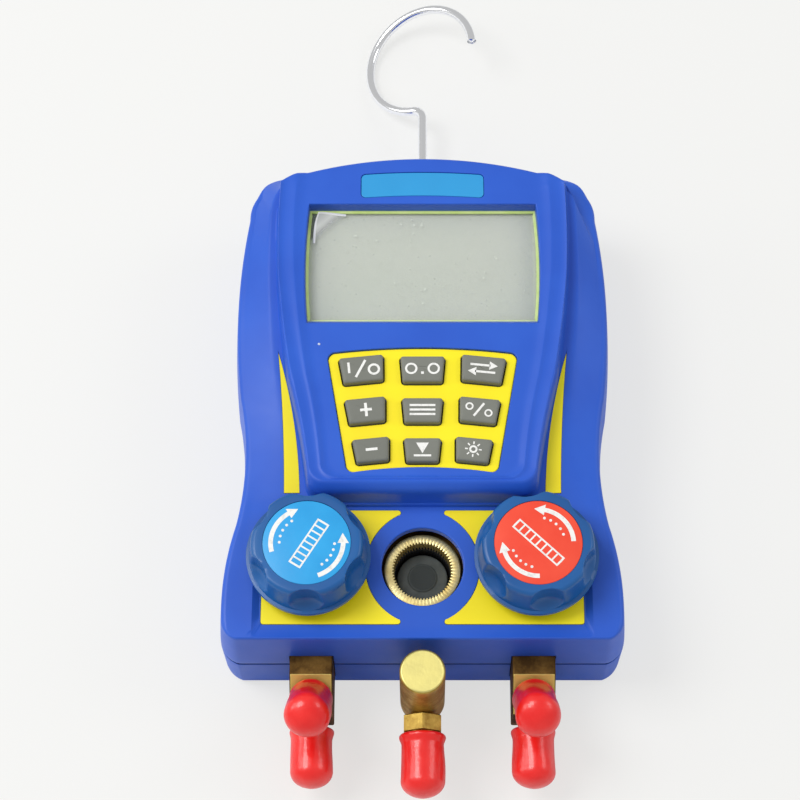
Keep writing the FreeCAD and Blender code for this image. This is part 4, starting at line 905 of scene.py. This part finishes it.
def keyMarks():
    # Plain symbols: on and off, zero, swap, more, list, degrees, less, down and lamp
    rays = [bar(1.75 * math.cos(a), 1.75 * math.sin(a), 0.75, 0.36, math.degrees(a))
            for a in np.arange(8) * math.pi / 4]
    return {
        "key_left_high": [bar(-3.4, 0.5, 0.62, 3.0), bar(-0.4, 0, 5.4, 0.62, 58)] + hoop(3.0, -0.5, 1.6, 0.6),
        "key_middle_high": hoop(-2.9, 0, 1.6, 0.55) + hoop(2.9, 0, 1.6, 0.55) + [bar(0, -1.2, 0.7, 0.7)],
        "key_right_high": [bar(-0.7, 0.95, 5.2, 0.6), wedge(2.6, 0.95, 1.9, 0), bar(0.7, -0.95, 5.2, 0.6),
                           wedge(-2.6, -0.95, 1.9, 180)],
        "key_left_mid": [bar(0, 0, 3.0, 0.72), bar(0, 1.11, 0.72, 1.5), bar(0, -1.11, 0.72, 1.5)],
        "key_middle_mid": [bar(0, y, 6.6, 0.58) for y in (1.25, 0, -1.25)],
        "key_right_mid": hoop(-2.5, 0.7, 1.05, 0.42) + hoop(2.5, -0.7, 1.05, 0.42) + [bar(0, 0, 4.4, 0.58, 58)],
        "key_left_low": [bar(0, 0, 3.0, 0.72)],
        "key_middle_low": [wedge(0, 0.5, 2.6, -90), bar(0, -1.7, 4.4, 0.55)],
        "key_right_low": hoop(0, 0, 1.05, 0.5) + rays,
    }


def keys():
    marks = keyMarks()
    rise = (0.9, 0.62, 0.36, 0.16, 0.04, 0.0)
    inset = (0.0, 0.03, 0.14, 0.34, 0.66, 1.1)
    for spot in keySpots():
        name, (x, y), _, _, turn, foot, top = spot
        edge = keyOutline(spot)
        rows = [level(edge, foot + 2.5)] + [level(spread(edge, -i), top - 0.06 - r) for i, r in zip(inset, rise)]
        centre = np.array([x, y])
        rows += [level(centre + (spread(edge, -inset[-1]) - centre) * s, top - 0.06 * s * s)
                 for s in (0.8, 0.5, 0.2)]
        lip = keyOutline(spot, keypad["lip"])
        cap = [rings(rows), block(lip, shell["roof"] - 1.6, shell["roof"] - 0.4)]
        prints = [block(spun(keypad["print"] * mark, turn, (x, y)), top - 0.12, top) for mark in marks[name]]
        first = sum(len(form[1]) for form in cap)
        piece = makeObject(name.replace("_", "."), cap + prints)
        dress(piece, name, [keyGrey, whiteInk], name)
        paintLater(piece, first, sum(len(form[1]) for form in prints), 1)


def deckInlays():
    for word, side in sides:
        low, high = boxOf(f"{word}_deck_inlay")
        piece = makeObject(f"{word}Inlay", [rimmed(inlayOutline(side, 0.1), low[2], high[2], 0.12)])
        carve(piece, [[block(circle(inlay["hole"], 72, side * valve["x"], valve["y"]), low[2] - 1, high[2] + 1)]])
        evenShade(piece)
        dress(piece, "root", yellow, f"{word}_deck_inlay")


def sideStripes():
    forms = [tiltedBlock(stripeOutline(side, 0.1), -stripe["depth"], 0.15) for side in (-1, 1)]
    dress(makeObject("sideStripes", forms), "root", yellow, "side_stripes")


# Display film with a lifted corner

def displayParts():
    # Clear pane, the light guide's bright frame under its edge, and the grey display
    for node, name, finish, slot in (("display_window", "displayPane", paneFinish, "display_clear"),
                                     ("display_panel", "displayPanel", lcdFinish, "display_grey")):
        low, high = boxOf(node)
        grow = high[0] - window["half"] - window["bulge"]
        form = block(spread(windowOutline(), grow), low[2] + window["shave"], high[2])
        dress(makeObject(name, [form]), "root", finish, node)
    low, high = boxOf("light_guide")
    grow = high[0] - window["half"] - window["bulge"]
    border = tube(spread(windowOutline(), grow), spread(windowOutline(), grow - 0.85), low[2], high[2])
    dress(makeObject("lightGuide", [border]), "root", guideFinish, "light_guide")


def screenFilm():
    # A flat sheet; past a slanted fold line near its top left corner it rolls up on a cylinder
    f, w = film, window
    near = np.concatenate([[0, 0.7], np.linspace(1.1, 15, 44), np.linspace(17, 30, 8)])
    along = np.concatenate([near, np.linspace(33, 2 * (w["half"] - f["inset"]), 12)])
    down = np.concatenate([near, [33, w["high"] - w["low"] - 2 * f["inset"]]])
    grid = np.stack(np.meshgrid(f["corner"][0] + along, f["corner"][1] - down[::-1]), axis=-1)
    toward = np.array(f["toward"])
    past = (grid - np.array(f["corner"])) @ toward + f["reach"]
    roll = np.maximum(past, 0) / f["curl"]
    shift = np.where(past > 0, f["curl"] * np.sin(roll) - past, 0)
    height = np.where(past > 0, f["curl"] * (1 - np.cos(roll)), 0)
    points = np.concatenate([grid + shift[..., None] * toward, (f["z"] + height)[..., None]], axis=-1)
    tall, wide = height.shape
    index = np.arange(tall * wide).reshape(tall, wide)
    faces = np.stack([index[:-1, :-1], index[:-1, 1:], index[1:, 1:], index[1:, :-1]], axis=-1)
    piece = makeObject("screenFilm", [(points.reshape(-1, 3), faces.reshape(-1, 4).tolist())])
    wall = piece.modifiers.new("thickness", "SOLIDIFY")
    wall.thickness = f["thick"] * mm
    made, edge = Finish("filmClear", linear(244, 246, 242), 0.2), Finish("filmEdge", linear(250, 251, 250), 0.3)
    # Painted sheen: where the film lifts off the display it is painted whiter and less clear
    lift = made.axis(2).between((f["z"] + 0.05) * mm, (f["z"] + 1.4) * mm)
    made.set("Alpha", 0.02 + 0.6 * lift + 0.03 * made.noise(80, 2))
    edge.set("Alpha", 0.85)
    for each in (made, edge):
        each.material.surface_render_method = "BLENDED"
    dress(piece, "root", [made, edge])
    # The cut edges of the lifted corner catch the light
    lifted = height[:-1, :-1] > 0.12
    rim = np.zeros(lifted.shape, bool)
    rim[-1], rim[:, 0] = lifted[-1], lifted[:, 0]
    piece.data.polygons.foreach_set("material_index", rim.reshape(-1).astype(np.int32))


# Sight glass: toothed brass ring, dark well and lens

def ribbed(profile, rib, angle, loop=False):
    # Rings about the sight glass; each row is radius, height and how deep the ribs are cut there
    rows = [ring(radius + share * rib, angle, z) for radius, z, share in profile]
    return moved(rings(rows, loop=loop), by=(0, sightGlass["y"], 0))


def sightRing():
    g, (low, high) = sightGlass, boxOf("sight_glass_ring")
    outer, bore, angle = (high - low)[0] / 2, g["bore"], around(g["around"])
    tooth = g["tooth"] * np.clip(np.cos(g["teeth"] * angle) * 1.6, -1, 1)
    profile = [(outer, low[2], 0), (outer, high[2] - 0.5, 0), (outer - 0.12, high[2] - 0.16, 0),
               (outer - 0.4, high[2], 0), (bore + 0.34, high[2], 0), (bore + 0.06, high[2] - 0.12, 0.8),
               (bore - 0.1, high[2] - 0.5, 1), (bore - 0.1, low[2] + 1, 1), (bore - 0.1, low[2], 1)]
    form = ribbed(profile, tooth, angle, loop=True)
    dress(makeObject("sightRing", [form], 40), "root", ringBrass, "sight_glass_ring")


def sightWell():
    low, high = boxOf("sight_well")
    r, top, angle = (high - low)[0] / 2, high[2], around(360)
    profile = [(r, low[2], 0), (r, top, 0), (r - 0.5, top, 0), (r - 1.0, top - 0.5, 1), (r - 1.15, top - 3, 1),
               (r - 1.2, low[2] + 1.4, 0), (r - 1.5, low[2] + 1.2, 0)]
    form = ribbed(profile, sightGlass["rib"] * np.cos(sightGlass["teeth"] * angle), angle)
    dress(makeObject("sightWell", [form], 40), "root", plasticBlack, "sight_well")


def sightLens():
    low, high = boxOf("sight_glass_lens")
    r, top = (high - low)[0] / 2, high[2]
    lens = [(0.01, low[2]), (r, low[2]), (r, top - 1.2), (r - 0.25, top - 0.85), (r - 1.5, top - 0.7),
            (4.5, top - 0.45), (4.2, top - 0.1), (3.2, top - 0.02), (0.01, top)]
    form = moved(turned(softEdges(lens, 0.25), 96), by=(0, sightGlass["y"], 0))
    dress(makeObject("sightLens", [form]), "root", lensFinish, "sight_glass_lens")


# Knobs and their printed labels

knob = {"outer": 18.3, "bore": 3.0, "around": 432, "skirt": 1.8, "grip": 16.2, "top": 12.4, "round": 1.3,
        "scallop": 7.6, "reach": 21.9, "scallops": 6, "dish": 4.2, "labelSeat": 12.9, "hollow": 12.6, "hub": 6,
        "roof": 8}
labels = {
    "left": {"film": labelBlue, "barTurn": 58, "barLength": 15.6, "barWidth": 4.0, "barAt": (0.7, -0.3),
             "arrows": [(10.4, 196, 106), (10.6, 289, 374)], "turn": 0, "slot": "label_blue"},
    "right": {"film": labelRed, "barTurn": -43.6, "barLength": 17.6, "barWidth": 3.4, "barAt": (0.0, 0.0),
              "arrows": [(10.2, 2, 94), (10.2, 271, 181)], "turn": 9, "slot": "label_red"},
}
dots = {"radius": 0.42, "inside": 2.5, "count": 5, "from": 0.18, "to": 0.8}       # along the inside of each arrow


def knobRadius(angle, height):
    # The skirt runs full round; above it six dishes bite into a cone, and their feet run out as a sphere's do
    k = knob
    neck = k["outer"] - 0.9
    cone = neck + (k["grip"] - neck) * np.clip((height - k["skirt"]) / (k["top"] - k["skirt"]), 0, 1)
    side = k["outer"] if height <= k["skirt"] else cone
    edge = np.clip(height - (k["top"] - k["round"]), 0, k["round"])
    side = side - (k["round"] - math.sqrt(max(0, k["round"] ** 2 - edge ** 2)))
    pitch = 2 * math.pi / k["scallops"]
    away = (angle - math.radians(30) + pitch / 2) % pitch - pitch / 2
    low = np.clip(k["dish"] + k["skirt"] - height, 0, k["dish"])
    biteRadius = math.sqrt(max(0.01, k["scallop"] ** 2 - (low * k["scallop"] / k["dish"] * 0.86) ** 2))
    inside = biteRadius ** 2 - (k["reach"] * np.sin(away)) ** 2
    bite = np.where(inside > 0, k["reach"] * np.cos(away) - np.sqrt(np.maximum(inside, 0)), 99)
    return softMin(side, bite if height > k["skirt"] else np.full(len(angle), 99.0), 0.7)


def knobPiece(word):
    k = knob
    low, high = boxOf(f"{word}_knob")
    centre, angle, rounding = (low + high) / 2, around(k["around"]), np.sin(np.radians([20, 40, 60, 80, 90]))
    heights = [0, 0.25, *np.linspace(0.7, k["skirt"], 3),
               *np.linspace(k["skirt"] + 0.15, k["skirt"] + k["dish"], 12),
               *np.linspace(6.6, k["top"] - k["round"], 6), *(k["top"] - k["round"] * (1 - rounding))]
    hub = [(k["bore"], k["roof"]), (k["bore"], 0.2), (k["hub"], 0.2), (k["hub"], k["roof"]),
           (k["hollow"], k["roof"]), (k["hollow"], 0.3)]
    rows = [ring(r, angle, z) for r, z in hub]
    rows += [ring(knobRadius(angle, z) - (0.25 if z == 0 else 0), angle, z) for z in heights]
    edge, seat = rows[-1][:, :2], ring(k["labelSeat"], angle, 0)[:, :2]
    for share, z in ((0.5, k["top"]), (1, k["top"]), (1, k["top"] - 0.6)):
        rows.append(level(edge + share * (seat - edge), z))
    turn = math.radians(labels[word]["turn"])
    spin = [[math.cos(turn), -math.sin(turn), 0], [math.sin(turn), math.cos(turn), 0], [0, 0, 1]]
    form = moved(rings(rows), spin, (centre[0], centre[1], low[2]))
    dress(makeObject(f"{word}Knob", [form], 38), f"{word}_valve_knob", knobBlue, f"{word}_knob")


def curvedArrow(radius, start, end, width=1.35, head=3.1, headWidth=3.3):
    # A strip along an arc that ends in a triangle, as one outline
    way = 1 if end > start else -1
    neck = end - way * math.degrees(head / radius) * 0.9
    arc = np.radians(np.linspace(start, neck, 28))
    ray = np.stack([np.cos(arc), np.sin(arc)], axis=1)
    last, along = ray[-1], np.array([-math.sin(arc[-1]), math.cos(arc[-1])]) * way
    tip = [last * (radius + headWidth / 2), last * (radius - 0.25) + along * head,
           last * (radius - headWidth / 2)]
    return np.concatenate([(radius + width / 2) * ray, tip, ((radius - width / 2) * ray)[::-1]])


def knobLabel(word):
    spec = labels[word]
    low, high = boxOf(f"{word}_knob_label")
    centre, radius, top = (low + high) / 2, (high - low)[0] / 2, high[2]
    edge = softEdges([(0.01, low[2]), (radius, low[2]), (radius, top - 0.03), (0.01, top - 0.03)], 0.15)
    disc = moved(turned(edge, 128), by=(centre[0], centre[1], 0))
    marks = []
    for arc, start, end in spec["arrows"]:
        marks.append(curvedArrow(arc, start, end))
        for share in np.linspace(dots["from"], dots["to"], dots["count"]):
            angle, inner = math.radians(start + share * (end - start)), arc - dots["inside"]
            marks.append(circle(dots["radius"], 14, inner * math.cos(angle), inner * math.sin(angle)))
    # A long frame with cross bars
    length, width, line = spec["barLength"], spec["barWidth"], 0.5
    frameBars = [bar(0, sign * (width - line) / 2, length, line) for sign in (-1, 1)]
    for share in np.linspace(-0.5, 0.5, 9):
        thick = line if abs(share) < 0.49 else line * 1.2
        frameBars.append(bar(share * (length - line), 0, thick, width - 2 * line + 0.02))
    marks += [spun(flat, spec["barTurn"], spec["barAt"]) for flat in frameBars]
    marks = [flat if area(flat) > 0 else flat[::-1] for flat in marks]
    prints = [block(flat + centre[:2], top - 0.06, top) for flat in marks]
    piece = makeObject(f"{word}KnobLabel", [disc] + prints)
    dress(piece, f"{word}_valve_knob", [spec["film"], whiteInk], f"{word}_knob_label")
    paintLater(piece, len(disc[1]), sum(len(form[1]) for form in prints), 1)


def area(xy):       # signed area of a flat outline, positive when it runs counter-clockwise
    after = np.roll(xy, -1, axis=0)
    return 0.5 * np.sum(xy[:, 0] * after[:, 1] - after[:, 0] * xy[:, 1])


# Brass ports, vinyl caps and the hook

port = {"half": 6.4, "chamfer": 0.6, "root": -68.7, "end": -97.3, "low": 6.65, "top": 26.15, "slantY": -87.2,
        "elbowY": -91.55, "tilt": 35, "seat": 2.748, "barrel": 5, "collar": 0.6, "hoseZ": 12.9, "hoseNeck": 4.3,
        "neckLength": 2.9, "shank": 3.6, "thread": 5.556, "threadLength": 11.2, "pitch": 1.27, "flare": 3.4,
        "flareLength": 2.2, "bore": 2.4}
cap = {"waist": 6.25, "skirt": 3, "dome": 5, "depth": 14.2, "bore": 5.62, "widest": 6.95, "stop": 0.4,
       "seeds": ((0.4, 2.1), (1.3, 3.4))}        # of each side's angled cap and hose cap, for the lobes


def alongPort(reach):
    angle = math.radians(port["tilt"])
    return port["elbowY"] - reach * math.sin(angle), ports["z"] + reach * math.cos(angle)


def portBlocks():
    # Bars whose slanted face is painted a lighter brass than the rest
    p = port
    lean, rise = math.sin(math.radians(p["tilt"])), math.cos(math.radians(p["tilt"]))
    across = -lean * p["slantY"] + rise * p["top"]
    outward = brassAged.axis(2) * rise - brassAged.axis(1) * lean
    brassAged.paint(outward.between((across - 0.09) * mm, (across - 0.04) * mm), linear(226, 204, 120))
    end = p["top"] - (p["slantY"] - p["end"]) * lean / rise
    edge = outline([(y, z, 0) for y, z in ((p["end"], p["low"]), (p["root"], p["low"]), (p["root"], p["top"]),
                                           (p["slantY"], p["top"]), (p["end"], end))], [20, 14, 14, 12, 10])
    side = [(p["half"] - p["chamfer"] * (1 - math.sin(a)), p["chamfer"] * (1 - math.cos(a)))
            for a in np.linspace(0, math.pi / 2, 5)]
    rows = [level(spread(edge, -inset), x) for x, inset in [(-x, inset) for x, inset in side[::-1]] + side]
    for word, side in sides:
        form = moved(rings(rows), [[0, 0, 1], [1, 0, 0], [0, 1, 0]], (side * ports["x"], 0, 0))
        piece = evenShade(makeObject(f"{word}PortBlock", [form]))
        dress(piece, "root", brassAged, f"{word}_port_block")


def nippleForm(base, baseLength, foot):
    # Shank, base, a thread whose crests and roots alternate every half pitch, and the flared nose
    p = port
    profile = [(p["bore"], foot), (p["shank"], foot), (p["shank"], 0.0), (base, 0.05), (base, baseLength)]
    turns = int(p["threadLength"] / p["pitch"])
    for k in range(turns):
        z = baseLength + 0.3 + k * p["pitch"]
        profile += [(p["thread"] - 0.62, z), (p["thread"], z + 0.45 * p["pitch"]),
                    (p["thread"], z + 0.6 * p["pitch"])]
    high = baseLength + p["threadLength"]
    profile += [(p["thread"] - 0.5, high), (p["flare"], high + p["flareLength"]),
                (p["bore"], high + p["flareLength"]), (p["bore"], foot)]
    return turned(profile, 64, closed=False)


def nipples():
    p = port
    for word, side in sides:
        x = side * ports["x"]
        form = moved(nippleForm(p["barrel"], p["collar"], -1.6), leaned(p["tilt"]), (x, *alongPort(p["seat"])))
        dress(makeObject(f"{word}AngledNipple", [form]), "root", brassBright, f"{word}_angled_nipple")
        form = moved(nippleForm(p["hoseNeck"], p["neckLength"], -1.6), leaned(90), (x, p["end"], p["hoseZ"]))
        dress(makeObject(f"{word}HoseNipple", [form]), "root", brassBright, f"{word}_hose_nipple")


def capForm(seed, lean, mouth=6.95, length=18.55, belly=6.5):
    # A dipped cap: thick lip, waist, belly and domed tip, bent out of round by a few soft lobes
    c, angle = cap, around(120)
    share = np.concatenate([np.linspace(0, c["skirt"], 9), np.linspace(c["skirt"] + 0.4, length - c["dome"], 26)])
    lip = mouth - (mouth - c["waist"]) * smoothStep(0.5, c["skirt"], share) - 0.35 * smoothStep(0.5, 0, share)
    # The belly runs straight to the nipple's nose, where the vinyl shrank over it, then in to a blunt point
    edge = lip + (belly - c["waist"]) * smoothStep(3, 11, share)
    turn = np.radians(np.linspace(5, 88, 14))
    radius = np.concatenate([edge, edge[-1] * np.cos(turn) ** 0.72])[:, None]
    point = c["dome"] * (0.86 * np.sin(turn) + 0.14 * (turn / turn[-1]) ** 3)
    height = np.concatenate([share, length - c["dome"] + point])[:, None]
    grow = np.sin(math.pi * np.clip(height / length, 0, 1)) * np.clip(height / 2.5, 0, 1)
    # A slow wobble, then two long dents: depth, turn, half width, height and half length
    wobble = 0.16 * np.cos(2 * angle + seed + height * 0.12)
    wobble = wobble + 0.11 * np.cos(3 * angle - 1.7 * seed + height * 0.22)
    for deep, past, wide, middle, long in ((0.26, 0, 0.28, 11, 5), (0.22, 0.8, 0.2, 13, 3.4)):
        across = np.sin(angle / 2 - seed - past) / wide
        wobble = wobble - deep * np.exp(-(across ** 2)) * np.exp(-((height - middle) / long) ** 2)
    full = np.minimum(radius * (1 + wobble * grow / c["waist"]), c["widest"])
    rows = [ring(r, angle, z) for r, z in zip(full, height[:, 0])]
    inner = [(0.2, c["depth"]), (c["bore"] - 0.8, c["depth"] - 0.2), (c["bore"], c["depth"] - 1.2),
             (c["bore"], 0.6), (c["bore"] + 0.15, 0.15), (c["bore"] + 0.5, 0.0)]
    points = np.stack([ring(r, angle, z) for r, z in inner] + rows)
    points[..., :2] += np.interp(points[..., 2], [0, 3, length], [0, 0, 1])[..., None] * lean
    return rings(points)


def vinylCaps():
    p, stop = port, cap["stop"]
    pieces = []
    for (word, side), (angled, straight) in zip(sides, cap["seeds"]):
        form = capForm(angled, (0.6 * side, 0.1), 6.5, belly=6.8)
        place = (side * ports["x"], *alongPort(p["seat"] + p["collar"] + stop))
        pieces.append((f"{word}_angled_cap", moved(form, leaned(p["tilt"]), place)))
        form = capForm(straight, (0.14, 0.05), 6.7, 17.5)
        place = (side * ports["x"], p["end"] - p["neckLength"] - stop, p["hoseZ"])
        pieces.append((f"{word}_hose_cap", moved(form, leaned(90), place)))
    root = (0, boxOf("centre_hose_cap")[1][1], ports["z"])
    pieces.append(("centre_hose_cap", moved(capForm(4.6, (0.1, -0.06)), leaned(90), root)))
    for node, form in pieces:
        name = node.title().replace("_", "")
        name = name[0].lower() + name[1:]
        dress(makeObject(name, [form], 60), node, vinyl, node)


centre = {"y": -91.7, "bar": 6.65, "low": 13, "top": 45, "neck": 5.5, "collar": 5.2,
          "hexHalf": 5.5, "hexLength": 5.3}


def centrePort():
    c = centre
    profile = softEdges([(0.01, c["low"]), (c["bar"] - 0.6, c["low"]), (c["bar"], c["low"] + 0.6),
                         (c["bar"], c["top"] - 0.6), (c["bar"] - 0.6, c["top"]), (0.01, c["top"])], 0.12, 2)
    # Shallow rings from the cutting tool on the top face
    cuts = enumerate(np.linspace(c["bar"] - 0.7, 0.6, 22))
    rim = [(r, c["top"] - 0.05 - (0.025 if k % 2 else 0)) for k, r in cuts]
    upright = moved(turned(profile[:-1] + rim + [(0.01, c["top"] - 0.05)], 128), by=(0, c["y"], 0))
    piece = makeObject("centrePlugBar", [upright], 28)
    reach = port["root"] - c["y"] - 0.05
    neck = moved(turned([(0.01, 0), (c["neck"], 0), (c["neck"], reach), (0.01, reach)]), towardY,
                 (0, c["y"], ports["z"]))
    carve(piece, [[neck]], "UNION", 28)
    evenShade(piece)
    dress(piece, "root", brassBright, "centre_plug_bar")
    hexagon = circle(c["hexHalf"] / math.cos(math.pi / 6), 6)
    hexagon = outline([(x, y, 0) for x, y in spun(hexagon, 30)], 6)
    rows = [level(hexagon * share, z) for share, z in ((0.93, 0.0), (1, 0.35), (1, c["hexLength"] - 0.35),
                                                       (0.93, c["hexLength"]))]
    forms = [moved(form, leaned(90), (0, c["y"] - c["bar"], ports["z"]))
             for form in (nippleForm(c["collar"], c["hexLength"], -3.9), rings(rows))]
    dress(makeObject("centreHoseNipple", forms), "root", brassBright, "centre_hose_nipple")


hook = {"wire": 1.5, "radius": 19.6, "bend": 4, "end": 262, "tip": 5, "top": 111.1, "z": 11.4, "turn": 27.7,
        "head": 2.8, "low": 58.7, "headLength": 3, "hole": 1.75}


def hookWire():
    # The stem, a bend the other way and the loop's arc, with a round section carried along
    k = hook
    end, tip = math.radians(k["end"]), math.radians(k["tip"])
    cx = -(k["radius"] + k["bend"]) * math.cos(end) - k["bend"]
    cy = k["top"] - (k["radius"] + k["bend"]) * math.sin(end)
    stem = np.column_stack([np.zeros(24), np.linspace(k["low"] + 1, k["top"], 24, endpoint=False)])
    angle = np.linspace(0, end - math.pi, 24, endpoint=False)
    bend = np.column_stack([-k["bend"] + k["bend"] * np.cos(angle), k["top"] + k["bend"] * np.sin(angle)])
    angle = np.linspace(end, tip, 150)
    loop = np.column_stack([cx + k["radius"] * np.cos(angle), cy + k["radius"] * np.sin(angle)])
    path = np.concatenate([stem, bend, loop])
    ahead = np.gradient(path, axis=0)
    ahead /= np.linalg.norm(ahead, axis=1, keepdims=True)
    side = np.stack([ahead[:, 1], -ahead[:, 0]], axis=1)
    about = around(40)

    def section(at, out, radius):
        return np.column_stack([at + radius * np.cos(about)[:, None] * out, radius * np.sin(about)])

    rows = [section(at, out, k["wire"]) for at, out in zip(path, side)]
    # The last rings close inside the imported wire's end
    rows += [section(path[-1] + ahead[-1] * k["wire"] * (reach - 0.98), side[-1], k["wire"] * share)
             for reach, share in ((0.35, 0.94), (0.62, 0.8), (0.82, 0.58), (0.95, 0.3), (1.0, 0.05))]
    head = softEdges([(0.01, 0), (k["head"], 0), (k["head"], k["headLength"]), (0.01, k["headLength"])], 0.4)
    turn = math.radians(-k["turn"])
    spin = [[math.cos(turn), 0, math.sin(turn)], [0, 1, 0], [-math.sin(turn), 0, math.cos(turn)]]
    head = moved(turned(head, 48), towardY, (0, k["low"], 0))
    forms = [moved(form, spin, (0, 0, k["z"])) for form in (rings(rows), head)]
    dress(makeObject("hook", forms, 50), "hook", chrome, "hook")


frontShell()
print("front shell")
backShell()
batteryDoor()
coverScrews()
print("back")
badgePlate()
keypadPlate()
keys()
deckInlays()
sideStripes()
print("keys and trim")
displayParts()
screenFilm()
sightRing()
sightWell()
sightLens()
print("display and sight glass")
for word, _ in sides:
    knobPiece(word)
    knobLabel(word)
portBlocks()
nipples()
vinylCaps()
centrePort()
hookWire()
print("valves, ports, caps and hook")


# Table, light and camera

studio = {"floor": linear(243, 243, 241), "key": 7.5, "side": 1.9, "world": 0.55, "veil": 0.72}
view = {"tilt": 23.5, "height": 654.4, "y": -271.957, "lens": 99, "shiftX": -0.0281}


def areaLight(name, place, size, strength):     # a disc that faces the middle of the table
    data = bpy.data.lights.new(name, "AREA")
    data.shape, data.size, data.energy = "DISK", size, strength
    lamp = bpy.data.objects.new(name, data)
    lamp.location = place
    lamp.rotation_euler = (-Vector(place)).to_track_quat("-Z", "Y").to_euler()
    bpy.context.scene.collection.objects.link(lamp)


def setStage():
    size = 3.0
    mesh = bpy.data.meshes.new("table")
    mesh.from_pydata([(-size, -size, 0), (size, -size, 0), (size, size, 0), (-size, size, 0)], [], [(0, 1, 2, 3)])
    table = bpy.data.objects.new("table", mesh)
    bpy.context.scene.collection.objects.link(table)
    made = Finish("tableWhite", studio["floor"], 0.7)
    # The camera sees most of the table as plain white, so that shadows stay faint
    seen = made.node("ShaderNodeLightPath", output="Is Camera Ray") * studio["veil"]
    plain = made.node("ShaderNodeEmission", None, {"Color": studio["floor"], "Strength": 1.0})
    blend = made.node("ShaderNodeMixShader", None, {0: seen, 1: Signal(made, made.shader.outputs[0]), 2: plain})
    made.tree.links.new(blend.socket, made.tree.nodes["Material Output"].inputs["Surface"])
    table.data.materials.append(made.material)
    world = bpy.data.worlds.new("studio")
    bpy.context.scene.world = world
    world.use_nodes = True
    backdrop = world.node_tree.nodes["Background"].inputs
    backdrop["Color"].default_value, backdrop["Strength"].default_value = (1, 1, 1, 1), studio["world"]
    areaLight("keyLight", (-0.62, 0.12, 1.1), 0.6, studio["key"])
    areaLight("leftLight", (-1.0, 0.1, 0.6), 0.5, studio["side"])
    areaLight("rightLight", (0.9, 0.15, 0.8), 0.5, studio["side"])


def setCamera():
    data = bpy.data.cameras.new("camera")
    data.lens, data.shift_x = view["lens"], view["shiftX"]
    camera = bpy.data.objects.new("camera", data)
    camera.location = (0, view["y"] * mm, view["height"] * mm)
    camera.rotation_euler = (math.radians(view["tilt"]), 0, 0)
    bpy.context.scene.collection.objects.link(camera)
    bpy.context.scene.camera = camera


setStage()
setCamera()
bpy.context.scene.view_settings.view_transform = "Standard"
print("stage")
